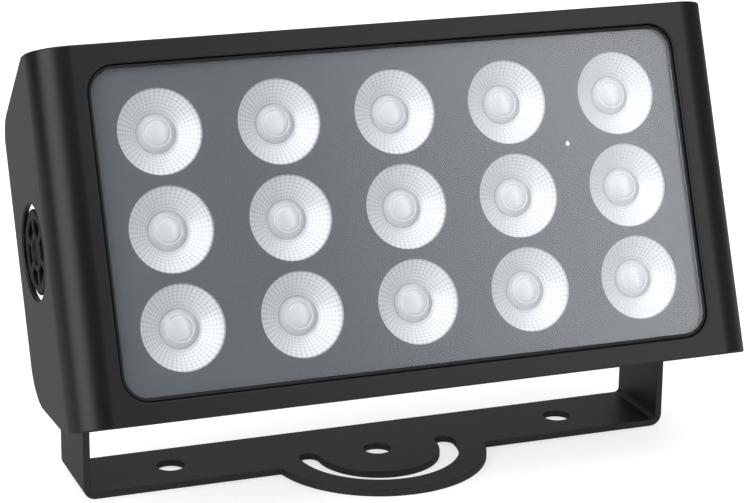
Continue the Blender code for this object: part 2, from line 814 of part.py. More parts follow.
def add_eye_block(housing, head, bay_z):
    half_x = EYE_HALF_WIDTH + EYE_BLOCK_MARGIN
    top = eye_place() + EYE_ROD_RADIUS + EYE_BLOCK_MARGIN / 2
    block = boxes(
        "eye block",
        ((-half_x, at(base_front + FIT), bay_z - BAY_WALL / 2), (half_x, at(eye_block_back), top)),
    )
    fuse(housing, new_tool("eye block", block, head))
    room = boxes(
        "eye room",
        (
            (-half_x, at(eye_block_back), bay_z + FIT),
            (half_x, at(CASE_DEPTH), body_half_z),
        ),
    )
    cut(housing, new_tool("eye room", room, head))
    holes = rods(
        "eye holes", EYE_ROD_RADIUS + FIT, 2 * (EYE_LEG_LENGTH + FIT),
        [along_y(side * EYE_HALF_WIDTH, at(eye_block_back), eye_place()) for _, side in SIDES],
        SMALL_STEPS,
    )
    cut(housing, new_tool("eye holes", holes, head))


def add_pivot_bosses(housing, axis):
    outer_length = BOSS_HEIGHT + CHAMBER_WALL / 2
    bosses = rods(
        "pivot bosses", BOSS_RADIUS, outer_length,
        [along_x(side * (boss_face - outer_length / 2), 0, 0) for _, side in SIDES],
    )
    fuse(housing, new_tool("pivot bosses", bosses, axis))
    inner_middle = body_half_x - CHAMBER_WALL / 2 - INNER_BOSS_LENGTH / 2
    inner = rods(
        "inner bosses", INNER_BOSS_RADIUS, INNER_BOSS_LENGTH,
        [along_x(side * inner_middle, 0, 0) for _, side in SIDES],
    )
    fuse(housing, new_tool("inner bosses", inner, axis))
    bores = rods(
        "stud bores", shaft_hole, 2 * (STUD_SEAT_DEPTH + FIT),
        [along_x(side * boss_face, 0, 0) for _, side in SIDES],
    )
    cut(housing, new_tool("stud bores", bores, axis))


def cover_gasket(head):
    outer = rounded_rectangle(
        BAY_HALF_WIDTH + BAY_WALL - FIT, BAY_HALF_HEIGHT + BAY_WALL - FIT, SEAL_WIDTH,
    )
    reach = 2 * POST_RADIUS
    step_x = BAY_HALF_WIDTH + FIT
    step_z = BAY_HALF_HEIGHT + FIT
    inner = []
    for a, b in ((-1, -1), (1, -1), (1, 1), (-1, 1)):
        corner = [(a * step_x, b * (step_z - reach)), (a * (step_x - reach), b * (step_z - reach)),
                  (a * (step_x - reach), b * step_z)]
        inner += corner if a * b > 0 else corner[::-1]
    holes = [circle(place, SCREW_RADIUS + FIT, SMALL_STEPS) for place in cover_screw_places()]
    mesh = outline_mesh(
        "cover_gasket", PLANE_XZ, at(bay_rim + FIT), at(bay_rim + FIT + GASKET_THICKNESS),
        outer, inner, *holes,
    )
    new_part("cover_gasket", mesh, RUBBER, head)


def button_places():
    return [(BUTTON_X + index * BUTTON_PITCH, CONTROLS_Z) for index in range(len(BUTTON_NAMES))]


def socket_places():
    return [((index - 1.5) * SOCKET_PITCH, SOCKETS_Z) for index in range(4)]


def moved(outline, x, z):
    return [(a + x, b + z) for a, b in outline]


def rear_cover(head):
    outer = rounded_rectangle(
        BAY_HALF_WIDTH + BAY_WALL - FIT, BAY_HALF_HEIGHT + BAY_WALL - FIT, SEAL_WIDTH,
    )
    display = rounded_rectangle(
        DISPLAY_HALF_WIDTH + FIT, DISPLAY_HALF_HEIGHT + FIT, SEAL_WIDTH + FIT,
    )
    holes = [moved(display, DISPLAY_X, CONTROLS_Z)]
    holes += [circle(place, BUTTON_RADIUS + FIT, SMALL_STEPS) for place in button_places()]
    holes += [circle(place, SOCKET_BODY_RADIUS + FIT, ROUND_STEPS) for place in socket_places()]
    holes += [circle(place, SCREW_RADIUS + FIT, SMALL_STEPS) for place in cover_screw_places()]
    holes.append(circle((VENT_X, CONTROLS_Z), VENT_STEM_RADIUS + FIT, SMALL_STEPS))
    mesh = outline_mesh("rear_cover", PLANE_XZ, at(cover_front), at(cover_back), outer, *holes)
    new_part("rear_cover", mesh, BLACK_STEEL, head)


def cover_screws(head):
    mesh = profile_mesh("cover_screw", screw_profile(COVER_SCREW_LENGTH - 2 * FIT))
    for number, (x, z) in enumerate(cover_screw_places(), 1):
        place = (x, at(fitting_seat), z)
        screw = new_part(f"cover_screw_{number}", mesh, STEEL, head, place, FACING_BACK)
        spin(screw, SMALL_STEPS)


def display(head):
    shape = rounded_rectangle(DISPLAY_HALF_WIDTH, DISPLAY_HALF_HEIGHT, SEAL_WIDTH)
    shape = moved(shape, DISPLAY_X, CONTROLS_Z)
    front = cover_back - WINDOW_THICKNESS
    mesh = outline_mesh("display_window", PLANE_XZ, at(front), at(cover_back), shape)
    new_part("display_window", mesh, CLEAR_GLASS, head)
    back = front - FIT
    mesh = outline_mesh(
        "display_module", PLANE_XZ, at(back - DISPLAY_MODULE_DEPTH), at(back), shape,
    )
    new_part("display_module", mesh, BLACK_PLASTIC, head)


def control_board_back():
    return cover_back - WINDOW_THICKNESS - FIT - DISPLAY_MODULE_DEPTH - FIT


def control_board_front():
    return control_board_back() - CONTROL_BOARD_THICKNESS


def button_stem_end():
    return cover_front - FIT - BUTTON_FLANGE_THICKNESS - BUTTON_STEM_LENGTH


def control_board(head):
    back = control_board_back()
    front = control_board_front()
    low_x = DISPLAY_X - DISPLAY_HALF_WIDTH - CONTROL_BOARD_MARGIN
    high_x = button_places()[-1][0] + BUTTON_FLANGE_RADIUS + CONTROL_BOARD_MARGIN
    half_z = DISPLAY_HALF_HEIGHT + CONTROL_BOARD_MARGIN
    mesh = boxes(
        "control_board",
        ((low_x, at(front), CONTROLS_Z - half_z), (high_x, at(back), CONTROLS_Z + half_z)),
    )
    board = new_part("control_board", mesh, BOARD_GREEN, head)
    top = button_stem_end() - BUTTON_TRAVEL - FIT
    switches = boxes(
        "switches",
        *(
            (
                (x - SWITCH_HALF_WIDTH, at(front + FIT), z - SWITCH_HALF_WIDTH),
                (x + SWITCH_HALF_WIDTH, at(top), z + SWITCH_HALF_WIDTH),
            )
            for x, z in button_places()
        ),
    )
    fuse(board, new_tool("switches", switches, head))


def menu_buttons(head):
    seat = cover_front - FIT
    top = cover_back + BUTTON_RISE - seat
    profile = [
        (0, top),
        (BUTTON_RADIUS - BUTTON_EDGE, top),
        (BUTTON_RADIUS, top - BUTTON_EDGE),
        (BUTTON_RADIUS, 0),
        (BUTTON_FLANGE_RADIUS, 0),
        (BUTTON_FLANGE_RADIUS, -BUTTON_FLANGE_THICKNESS),
        (BUTTON_STEM_RADIUS, -BUTTON_FLANGE_THICKNESS),
        (BUTTON_STEM_RADIUS, -BUTTON_FLANGE_THICKNESS - BUTTON_STEM_LENGTH),
        (0, -BUTTON_FLANGE_THICKNESS - BUTTON_STEM_LENGTH),
    ]
    mesh = profile_mesh("button", profile)
    for name, (x, z) in zip(BUTTON_NAMES, button_places()):
        button = new_part(name, mesh, GREY_PLASTIC, head, (x, at(seat), z), FACING_BACK)
        spin(button, SMALL_STEPS)


def socket(name, material, head, place, cavity_radius):
    x, z = place
    flange_back_depth = fitting_seat + SOCKET_FLANGE_THICKNESS
    shape = moved(rounded_rectangle(SOCKET_HALF_WIDTH, SOCKET_HALF_HEIGHT, SOCKET_CORNER, 3), x, z)
    mesh = outline_mesh(name, PLANE_XZ, at(fitting_seat), at(flange_back_depth), shape)
    fitting = new_part(name, mesh, material, head)
    length = SOCKET_BODY_LENGTH + SOCKET_FLANGE_THICKNESS / 2
    middle = flange_back_depth - SOCKET_FLANGE_THICKNESS / 2 - length / 2
    body = rods(f"{name} body", SOCKET_BODY_RADIUS, length, [along_y(x, at(middle), z)])
    fuse(fitting, new_tool(f"{name} body", body, head))
    cavity = rods(
        f"{name} cavity", cavity_radius, 2 * CAVITY_DEPTH,
        [along_y(x, at(flange_back_depth), z)], ROUND_STEPS,
    )
    cut(fitting, new_tool(f"{name} cavity", cavity, head))
    floor = flange_back_depth - CAVITY_DEPTH
    contacts = rods(
        f"{name} contacts", CONTACT_RADIUS, CONTACT_LENGTH,
        [
            along_y(
                x + CONTACT_CIRCLE * math.cos(angle), at(floor + CONTACT_LENGTH / 2 - 2 * FIT),
                z + CONTACT_CIRCLE * math.sin(angle),
            )
            for angle in (math.tau * index / 3 + math.pi / 2 for index in range(3))
        ],
        TINY_STEPS,
    )
    fuse(fitting, new_tool(f"{name} contacts", contacts, head))


def sockets(head):
    rows = (
        ("power_inlet", BLUE_PLASTIC, POWER_CAVITY_RADIUS),
        ("power_outlet", GREY_PLASTIC, POWER_CAVITY_RADIUS),
        ("data_inlet", BLACK_PLASTIC, DATA_CAVITY_RADIUS),
        ("data_outlet", BLACK_PLASTIC, DATA_CAVITY_RADIUS),
    )
    for (name, material, radius), place in zip(rows, socket_places()):
        socket(name, material, head, place, radius)


def breather_vent(head):
    stem = COVER_THICKNESS + 2 * FIT
    profile = [
        (0, VENT_HEIGHT),
        (VENT_RADIUS - VENT_EDGE, VENT_HEIGHT),
        (VENT_RADIUS, VENT_HEIGHT - VENT_EDGE),
        (VENT_RADIUS, 0),
        (VENT_STEM_RADIUS, 0),
        (VENT_STEM_RADIUS, -stem),
        (0, -stem),
    ]
    turned(
        "breather_vent", profile, BLACK_PLASTIC, head, (VENT_X, at(fitting_seat), CONTROLS_Z),
        FACING_BACK, SMALL_STEPS,
    )


def driver_unit(head):
    back = control_board_front() - DRIVER_CLEARANCE
    mesh = boxes(
        "driver_unit",
        (
            (-DRIVER_HALF_WIDTH, at(base_back + FIT), DRIVER_BOTTOM),
            (DRIVER_HALF_WIDTH, at(back), DRIVER_BOTTOM + DRIVER_HEIGHT),
        ),
    )
    driver = new_part("driver_unit", mesh, ALUMINIUM, head)
    edges = driver.modifiers.new("edges", "BEVEL")
    edges.width = EDGE_RADIUS
    edges.segments = 1
    edges.limit_method = "ANGLE"


def safety_eye(head):
    z = eye_place()
    tail = eye_block_back - EYE_LEG_LENGTH
    crown = eye_block_back + EYE_CLEARANCE + EYE_ROD_RADIUS
    corners = rounded_outline(
        [
            (-EYE_HALF_WIDTH, tail, 0),
            (-EYE_HALF_WIDTH, crown, EYE_BEND_RADIUS),
            (EYE_HALF_WIDTH, crown, EYE_BEND_RADIUS),
            (EYE_HALF_WIDTH, tail, 0),
        ],
        4,
    )
    curve = bpy.data.curves.new("safety_eye", "CURVE")
    curve.dimensions = "3D"
    curve.bevel_depth = EYE_ROD_RADIUS
    curve.bevel_resolution = 2
    curve.use_fill_caps = True
    spline = curve.splines.new("POLY")
    spline.points.add(len(corners) - 1)
    for point, (x, depth) in zip(spline.points, corners):
        point.co = (x, at(depth), z, 1)
    curve.materials.append(STEEL)
    eye = bpy.data.objects.new("safety_eye", curve)
    parts.objects.link(eye)
    eye.parent = head


def pivot_set(axis, side_name, side):
    facing = (0, math.radians(90) * side, 0)
    stud_start = boss_face - STUD_SEAT_DEPTH
    stud = [
        (0, stud_end),
        (STUD_RADIUS - STUD_CHAMFER, stud_end),
        (STUD_RADIUS, stud_end - STUD_CHAMFER),
        (STUD_RADIUS, stud_start),
        (0, stud_start),
    ]
    turned(f"pivot_stud_{side_name}", stud, STEEL, axis, (0, 0, 0), facing)
    barrel = arm_hole - FIT
    flange_top = bush_seat + BUSH_WALL
    bush = [
        (shaft_hole, arm_outer - FIT),
        (barrel, arm_outer - FIT),
        (barrel, flange_top),
        (BUSH_FLANGE_RADIUS, flange_top),
        (BUSH_FLANGE_RADIUS, bush_seat),
        (shaft_hole, bush_seat),
    ]
    turned(f"pivot_bush_{side_name}", bush, NYLON, axis, (0, 0, 0), facing, closed=True)
    washer_top = washer_seat + WASHER_THICKNESS
    washer = [
        (shaft_hole, washer_top),
        (BUSH_FLANGE_RADIUS, washer_top),
        (BUSH_FLANGE_RADIUS, washer_seat),
        (shaft_hole, washer_seat),
    ]
    turned(f"pivot_washer_{side_name}", washer, STEEL, axis, (0, 0, 0), facing, closed=True)
    insert = [
        (shaft_hole, insert_face),
        (insert_radius, insert_face),
        (insert_radius, knob_seat),
        (shaft_hole, knob_seat),
    ]
    turned(f"knob_insert_{side_name}", insert, BRASS, axis, (0, 0, 0), facing, closed=True)
    lock_knob(axis, side_name, side, facing)


def lobed_outline():
    points = []
    count = KNOB_LOBES * 8
    for index in range(count):
        angle = math.tau * index / count
        radius = KNOB_RADIUS - KNOB_LOBE_DEPTH * (1 - math.cos(KNOB_LOBES * angle)) / 2
        points.append((radius * math.cos(angle), radius * math.sin(angle)))
    return points


def lock_knob(axis, side_name, side, facing):
    name = f"lock_knob_{side_name}"
    mesh = outline_mesh(name, PLANE_XY, knob_seat, knob_face, lobed_outline())
    knob = new_part(name, mesh, BLACK_PLASTIC, axis, (0, 0, 0), facing)
    bore_length = insert_face + FIT - knob_seat
    bore = rods(
        f"{name} bore", insert_radius + FIT, 2 * bore_length, [along_z(0, 0, knob_seat)],
    )
    cut(knob, new_tool(f"{name} bore", bore, axis, rotation=facing))
    ring = KNOB_RADIUS - KNOB_LOBE_DEPTH - KNOB_RING_WIDTH
    for index in range(KNOB_LOBES):
        middle = math.tau * (index + 0.5) / KNOB_LOBES
        half = math.pi / KNOB_LOBES - KNOB_SPOKE_ANGLE / 2
        outline = arc((0, 0), ring, middle - half, middle + half, 4)
        outline += arc((0, 0), KNOB_HUB_RADIUS, middle + half, middle - half, 2)
        pocket = outline_mesh(
            f"{name} pocket {index}", PLANE_XY, knob_face - KNOB_POCKET_DEPTH,
            knob_face + KNOB_POCKET_DEPTH, outline,
        )
        cut(knob, new_tool(f"{name} pocket {index}", pocket, axis, rotation=facing))


def nose_outline():
    # Round nose about the centre hole, faired into the bar's edge by concave arcs
    front = -YOKE_WIDTH / 2
    centre = (0, -CENTRE_HOLE_OFFSET)
    drop = centre[1] - front + NOSE_FILLET
    fillet_x = math.sqrt((NOSE_RADIUS + NOSE_FILLET) ** 2 - drop ** 2)
    fillet_y = front - NOSE_FILLET
    meet = math.atan2(centre[1] - fillet_y, fillet_x)
    outline = [(-fillet_x, front + NOSE_FILLET), (-fillet_x, front)]
    outline += arc((-fillet_x, fillet_y), NOSE_FILLET, math.pi / 2, meet, 4)[1:]
    outline += arc(centre, NOSE_RADIUS, math.pi + meet, math.tau - meet, FINE_STEPS)[1:-1]
    outline += arc((fillet_x, fillet_y), NOSE_FILLET, math.pi - meet, math.pi / 2, 4)
    outline.append((fillet_x, front + NOSE_FILLET))
    return outline


def slot_outline():
    # Half ring in front of the centre hole, with round ends
    centre = (0, -CENTRE_HOLE_OFFSET)
    half = SLOT_WIDTH / 2
    outline = arc(centre, SLOT_RADIUS + half, math.pi, math.tau, FINE_STEPS)
    outline += arc((SLOT_RADIUS, centre[1]), half, 0, math.pi, 6)[1:-1]
    outline += arc(centre, SLOT_RADIUS - half, math.tau, math.pi, FINE_STEPS)
    outline += arc((-SLOT_RADIUS, centre[1]), half, 0, math.pi, 6)[1:-1]
    return outline


def arm_outline():
    # Side view of an arm, in Y and Z, with a round lug at the pivot
    lug = (-PIVOT_OFFSET, PIVOT_HEIGHT)
    half = YOKE_WIDTH / 2
    tangent_y = lug[0] + LUG_RADIUS * math.cos(SHOULDER_ANGLE)
    tangent_z = lug[1] + LUG_RADIUS * math.sin(SHOULDER_ANGLE)
    shoulder_z = tangent_z - (half - tangent_y) / math.tan(SHOULDER_ANGLE)
    meet = math.tau - math.acos((-half - lug[0]) / LUG_RADIUS)
    below = -YOKE_THICKNESS
    outline = [(-half, below), (half, below), (half, shoulder_z)]
    outline += arc(lug, LUG_RADIUS, SHOULDER_ANGLE, meet, ROUND_STEPS)
    return outline


def yoke():
    top = PIVOT_HEIGHT + LUG_RADIUS + FIT
    inner_bend = YOKE_BEND_RADIUS - YOKE_THICKNESS
    section = rounded_outline(
        [
            (-arm_outer, 0, YOKE_BEND_RADIUS), (arm_outer, 0, YOKE_BEND_RADIUS),
            (arm_outer, top, 0), (arm_inner, top, 0),
            (arm_inner, YOKE_THICKNESS, inner_bend), (-arm_inner, YOKE_THICKNESS, inner_bend),
            (-arm_inner, top, 0), (-arm_outer, top, 0),
        ]
    )
    lug_front = -PIVOT_OFFSET - LUG_RADIUS - FIT
    mesh = outline_mesh("yoke", PLANE_XZ, lug_front, YOKE_WIDTH / 2 + FIT, section)
    bracket = new_part("yoke", mesh, BLACK_STEEL)
    reach = arm_outer + YOKE_THICKNESS
    side_view = outline_mesh("arm outline", PLANE_YZ, -reach, reach, arm_outline())
    combine(bracket, new_tool("arm outline", side_view), "INTERSECT")
    nose = outline_mesh("nose", PLANE_XY, 0, YOKE_THICKNESS, nose_outline())
    fuse(bracket, new_tool("nose", nose))
    through = (-YOKE_THICKNESS, 2 * YOKE_THICKNESS)
    slot = outline_mesh("slot", PLANE_XY, *through, slot_outline())
    cut(bracket, new_tool("slot", slot))
    holes = rods(
        "mounting holes", MOUNT_HOLE_RADIUS, 4 * YOKE_THICKNESS,
        [
            along_z(-SIDE_HOLE_X, 0, YOKE_THICKNESS / 2),
            along_z(0, -CENTRE_HOLE_OFFSET, YOKE_THICKNESS / 2),
            along_z(SIDE_HOLE_X, 0, YOKE_THICKNESS / 2),
        ],
    )
    cut(bracket, new_tool("mounting holes", holes))
    arm_middle = (arm_inner + arm_outer) / 2
    pivots = rods(
        "pivot holes", arm_hole, 3 * YOKE_THICKNESS,
        [along_x(side * arm_middle, -PIVOT_OFFSET, PIVOT_HEIGHT) for _, side in SIDES],
    )
    cut(bracket, new_tool("pivot holes", pivots))


def build():
    axis = bpy.data.objects.new("tilt axis", None)
    parts.objects.link(axis)
    axis.location = (0, -PIVOT_OFFSET, PIVOT_HEIGHT)
    axis.rotation_euler = (-REST_TILT, 0, 0)
    head = bpy.data.objects.new("head middle", None)
    parts.objects.link(head)
    head.parent = axis
    head.location = (0, 0, PIVOT_DROP)
    yoke()
    front_casing(head, axis)
    front_glass(head)
    glass_seal(head)
    lens_mask(head)
    lenses(head)
    status_light(head)
    led_board(head)
    casing_gasket(head)
    casing_screws(head)
    rear_housing(head, axis)
    driver_unit(head)
    cover_gasket(head)
    rear_cover(head)
    cover_screws(head)
    display(head)
    control_board(head)
    menu_buttons(head)
    sockets(head)
    breather_vent(head)
    safety_eye(head)
    for side_name, side in SIDES:
        pivot_set(axis, side_name, side)


build()
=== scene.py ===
import json
import math

import bmesh
import bpy
from mathutils import Matrix, Vector


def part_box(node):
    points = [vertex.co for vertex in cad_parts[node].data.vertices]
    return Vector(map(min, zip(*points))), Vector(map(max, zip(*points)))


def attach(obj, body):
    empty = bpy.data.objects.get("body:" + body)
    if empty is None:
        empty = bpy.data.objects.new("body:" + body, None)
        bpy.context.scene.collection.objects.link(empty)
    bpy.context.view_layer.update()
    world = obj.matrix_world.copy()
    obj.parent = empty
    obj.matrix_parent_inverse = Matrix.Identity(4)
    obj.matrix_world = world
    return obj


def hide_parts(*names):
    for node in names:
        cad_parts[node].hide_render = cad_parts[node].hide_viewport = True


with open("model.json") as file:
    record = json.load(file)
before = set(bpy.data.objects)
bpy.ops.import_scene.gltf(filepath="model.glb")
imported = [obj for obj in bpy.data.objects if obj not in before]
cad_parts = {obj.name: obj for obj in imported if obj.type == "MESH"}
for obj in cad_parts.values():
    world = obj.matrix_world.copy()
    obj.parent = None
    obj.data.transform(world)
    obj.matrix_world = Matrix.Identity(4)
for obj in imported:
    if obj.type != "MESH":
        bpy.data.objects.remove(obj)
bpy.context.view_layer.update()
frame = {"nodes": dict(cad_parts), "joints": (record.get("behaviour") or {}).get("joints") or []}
scene = bpy.context.scene
pieceCollection = bpy.data.collections.new("dressed pieces")
scene.collection.children.link(pieceCollection)
print("frame loaded")

# How the head hangs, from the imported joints
jointByName = {joint["name"]: joint for joint in frame["joints"]}
pivot = Vector(jointByName["head_tilt"]["pos_m"])
buttonInward = jointByName["menu_press"]["axis"]
restTilt = math.atan2(buttonInward[2], -buttonInward[1])
pivotTurn = Matrix.Rotation(-restTilt, 4, "X")

# The head is modelled with X across, Y back from the bezel's face and Z up from its middle.
# A rounded outline is given as its half width, half height and corner radius.
head = {
    "pivotDepth": 0.0443, "pivotDrop": 0.0014, "lensPitchX": 0.057, "lensPitchZ": 0.0448,
    "windowRadius": 0.02015, "glass": (0.144, 0.0745, 0.011), "cornerSteps": 14,
    "glassFront": 0.0008, "glassBack": 0.0038, "maskFront": 0.0041, "maskBack": 0.0054,
    "ledgeFront": 0.0057, "ledgeBack": 0.010, "flangeBack": 0.0144,
    "coverFront": 0.0724, "coverBack": 0.0754, "fittingSeat": 0.0757,
}
fit = 0.0003  # Gap between pieces
past = 0.001  # How far a cutter stands past what it cuts
headPlace = (
    Matrix.Translation(pivot) @ pivotTurn
    @ Matrix.Translation((0, -head["pivotDepth"], head["pivotDrop"]))
)
sides = (("left", -1), ("right", 1))


def sidePlace(side):
    # Turned pieces at the pivot stand on Z, which points out of the head
    return Matrix.Translation(pivot) @ pivotTurn @ Matrix.Rotation(math.radians(90) * side, 4, "Y")


# Places, each with a turn that lays the Z axis of a shape along another

def turnedPlace(place, degrees, axis):
    return Matrix.Translation(place) @ Matrix.Rotation(math.radians(degrees), 4, axis)


def alongX(*place):
    return turnedPlace(place, 90, "Y")


def alongY(*place):
    return turnedPlace(place, -90, "X")


def alongZ(*place):
    return Matrix.Translation(place)


def facingFront(*place):
    return turnedPlace(place, 90, "X")


# Mesh helpers

def near(a, b, gap=0.0001):
    return abs(a - b) < gap


def moveTo(bm, matrix):
    bmesh.ops.transform(bm, matrix=matrix, verts=bm.verts)
    return bm


def mergeDoubles(bm, gap=0.000002):
    bmesh.ops.remove_doubles(bm, verts=bm.verts, dist=gap)


def faceOutwards(bm):
    bmesh.ops.recalc_face_normals(bm, faces=bm.faces)
    return bm


def addCircle(bm, radius, steps, place, filled=True):
    bmesh.ops.create_circle(bm, cap_ends=filled, segments=steps, radius=radius, matrix=place)


def flatten(bm, angle=0.3):
    # Joins faces that lie in one plane
    bmesh.ops.dissolve_limit(bm, angle_limit=math.radians(angle), verts=bm.verts, edges=bm.edges)


def onlyVerts(items):
    return [item for item in items if isinstance(item, bmesh.types.BMVert)]


def onlyEdges(items):
    return [item for item in items if isinstance(item, bmesh.types.BMEdge)]


def thicken(bm, faces, vector):
    made = bmesh.ops.extrude_face_region(bm, geom=faces)
    bmesh.ops.translate(bm, vec=vector, verts=onlyVerts(made["geom"]))
    return faceOutwards(bm)


def prism(points, vector):
    # A face through a few corners, thickened
    bm = bmesh.new()
    face = bm.faces.new([bm.verts.new(point) for point in points])
    return thicken(bm, [face], vector)


def block(low, high):
    bm = bmesh.new()
    size = Vector(high) - Vector(low)
    middle = (Vector(high) + Vector(low)) / 2
    bmesh.ops.create_cube(bm, size=1, matrix=Matrix.Translation(middle) @ Matrix.Diagonal((*size, 1)))
    return bm


def rod(radius, length, place, steps=48):
    bm = bmesh.new()
    bmesh.ops.create_cone(
        bm, cap_ends=True, segments=steps, radius1=radius, radius2=radius, depth=length, matrix=place,
    )
    return bm


def ringSector(inner, outer, low, high, angle, steps, turn=1):
    # Part of a flat ring on Z, from the X axis round
    bm = bmesh.new()
    corners = ((inner, 0, low), (outer, 0, low), (outer, 0, high), (inner, 0, high))
    start = bm.faces.new([bm.verts.new(corner) for corner in corners])
    bmesh.ops.spin(
        bm, geom=[start] + start.edges[:] + start.verts[:], cent=(0, 0, 0), axis=(0, 0, turn),
        angle=angle, steps=steps,
    )
    return faceOutwards(bm)


def joined(meshes):
    # Several meshes as one, without fusing them
    result = bmesh.new()
    for bm in meshes:
        carrier = bpy.data.meshes.new("joined")
        bm.to_mesh(carrier)
        bm.free()
        result.from_mesh(carrier)
        bpy.data.meshes.remove(carrier)
    return result


def roundedFace(bm, size, steps, y, x=0.0, z=0.0, grow=0.0):
    # A flat face in X and Z whose corners are rounded by a vertex bevel
    halfX, halfZ, radius = [length + grow for length in size]
    verts = bmesh.ops.create_grid(bm, x_segments=1, y_segments=1, size=1)["verts"]
    bmesh.ops.scale(bm, vec=(halfX, halfZ, 1), verts=verts)
    bmesh.ops.transform(bm, matrix=facingFront(x, y, z), verts=verts)
    bmesh.ops.bevel(
        bm, geom=verts, offset=radius, offset_type="OFFSET", segments=steps, profile=0.5,
        affect="VERTICES", material=-1,
    )
    return bm


def roundedBlock(size, steps, front, back, x=0.0, z=0.0, grow=0.0):
    bm = roundedFace(bmesh.new(), size, steps, front, x, z, grow)
    return thicken(bm, bm.faces[:], (0, back - front, 0))


def bevelEdges(bm, edges, width, segments, **options):
    bmesh.ops.bevel(
        bm, geom=edges, offset=width, offset_type="OFFSET", segments=segments, profile=0.5,
        affect="EDGES", material=-1, **options,
    )
    return bm


def bevelWhere(bm, test, width, segments):
    edges = [edge for edge in bm.edges if test(edge.verts[0].co, edge.verts[1].co)]
    return bevelEdges(bm, edges, width, segments, clamp_overlap=True)


def softened(bm, width, segments=2, angle=40.0):
    # Rounds every edge that turns by more than the angle
    limit = math.radians(angle)
    sharp = [edge for edge in bm.edges if edge.is_manifold and edge.calc_face_angle(0) > limit]
    return bevelEdges(bm, sharp, width, segments, clamp_overlap=False, miter_outer="ARC")


def meshObject(name, bm, collection):
    mesh = bpy.data.meshes.new(name)
    bm.to_mesh(mesh)
    bm.free()
    made = bpy.data.objects.new(name, mesh)
    collection.objects.link(made)
    return made


def cutBy(*meshes):
    return [("DIFFERENCE", bm) for bm in meshes]


def combined(base, *steps):
    # Runs solids against each other; each step is an operation and a mesh
    carriers = [meshObject("solid", bm, scene.collection) for bm in [base] + [tool for _, tool in steps]]
    for (operation, _), tool in zip(steps, carriers[1:]):
        modifier = carriers[0].modifiers.new("solid", "BOOLEAN")
        modifier.operation = operation
        modifier.object = tool
        modifier.solver = "EXACT"
    bpy.context.view_layer.update()
    graph = bpy.context.evaluated_depsgraph_get()
    mesh = bpy.data.meshes.new_from_object(carriers[0].evaluated_get(graph))
    result = bmesh.new()
    result.from_mesh(mesh)
    bpy.data.meshes.remove(mesh)
    for carrier in carriers:
        used = carrier.data
        bpy.data.objects.remove(carrier, do_unlink=True)
        bpy.data.meshes.remove(used)
    mergeDoubles(result)
    flatten(result)
    return result


def turnedMesh(profile, steps, closed=False):
    # Spins a profile of (radius, height) round Z; closed joins its last point to its first
    bm = bmesh.new()
    verts = [bm.verts.new((radius, 0, height)) for radius, height in profile]
    pairs = list(zip(verts, verts[1:]))
    if closed:
        pairs.append((verts[-1], verts[0]))
    edges = [bm.edges.new(pair) for pair in pairs]
    bmesh.ops.spin(
        bm, geom=verts + edges, cent=(0, 0, 0), axis=(0, 0, 1), angle=math.tau,
        steps=steps, use_merge=True, use_duplicate=False,
    )
    mergeDoubles(bm)
    return faceOutwards(bm)


def plateWithHoles(bm, holes, front, back):
    # Fills between an outline and holes, which are loops of edges, and thickens the result
    bmesh.ops.delete(bm, geom=bm.faces[:], context="FACES_ONLY")
    for radius, x, z, steps in holes:
        addCircle(bm, radius, steps, facingFront(x, front, z), filled=False)
    bmesh.ops.triangle_fill(bm, use_beauty=True, use_dissolve=False, edges=bm.edges[:])
    return thicken(bm, bm.faces[:], (0, back - front, 0))


def addPiece(name, bm, finish, body, nodes=(), slotName=None, smoothAngle=35, weighted=True):
    piece = meshObject(name, bm, pieceCollection)
    piece.data.shade_smooth()
    piece.data.set_sharp_from_angle(angle=math.radians(smoothAngle))
    piece.data.materials.append(materials[finish])
    if weighted:
        normals = piece.modifiers.new("face weights", "WEIGHTED_NORMAL")
        normals.keep_sharp = True
        normals.weight = 100
    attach(piece, body)
    if nodes:
        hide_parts(*nodes)


def addHeadPiece(name, bm, finish, nodes=(), place=Matrix(), body="lamp_head", **options):
    # A piece modelled in the head's own axes
    moveTo(bm, headPlace @ place)
    addPiece(name, bm, finish, body, nodes, **options)


# Materials

def setInputs(node, values):
    # A value is a number, a colour or another node's socket
    for key, value in values.items():
        if isinstance(value, bpy.types.NodeSocket):
            node.id_data.links.new(value, node.inputs[key])
        else:
            node.inputs[key].default_value = value
    return node


def addNode(tree, kind, values=None, **settings):
    node = tree.nodes.new(kind)
    for key, value in settings.items():
        setattr(node, key, value)
    return setInputs(node, values or {})


def mathNode(tree, operation, first, second=None, clamp=False):
    values = {0: first} if second is None else {0: first, 1: second}
    return addNode(tree, "ShaderNodeMath", values, operation=operation, use_clamp=clamp).outputs[0]


def smoothStep(tree, value, start, end):
    # Rises from 0 at the start to 1 at the end
    values = {"Value": value, "From Min": start, "From Max": end}
    return addNode(tree, "ShaderNodeMapRange", values, interpolation_type="SMOOTHSTEP").outputs["Result"]


def objectPlace(tree):
    return addNode(tree, "ShaderNodeTexCoord").outputs["Object"]


def startMaterial(name):
    material = bpy.data.materials.new(name)
    material.use_nodes = True
    return material, material.node_tree, material.node_tree.nodes["Principled BSDF"]


def mixShaders(tree, amount, first, second):
    mix = addNode(tree, "ShaderNodeMixShader", {"Fac": amount, 1: first.outputs[0], 2: second.outputs[0]})
    setInputs(tree.nodes["Material Output"], {"Surface": mix.outputs[0]})


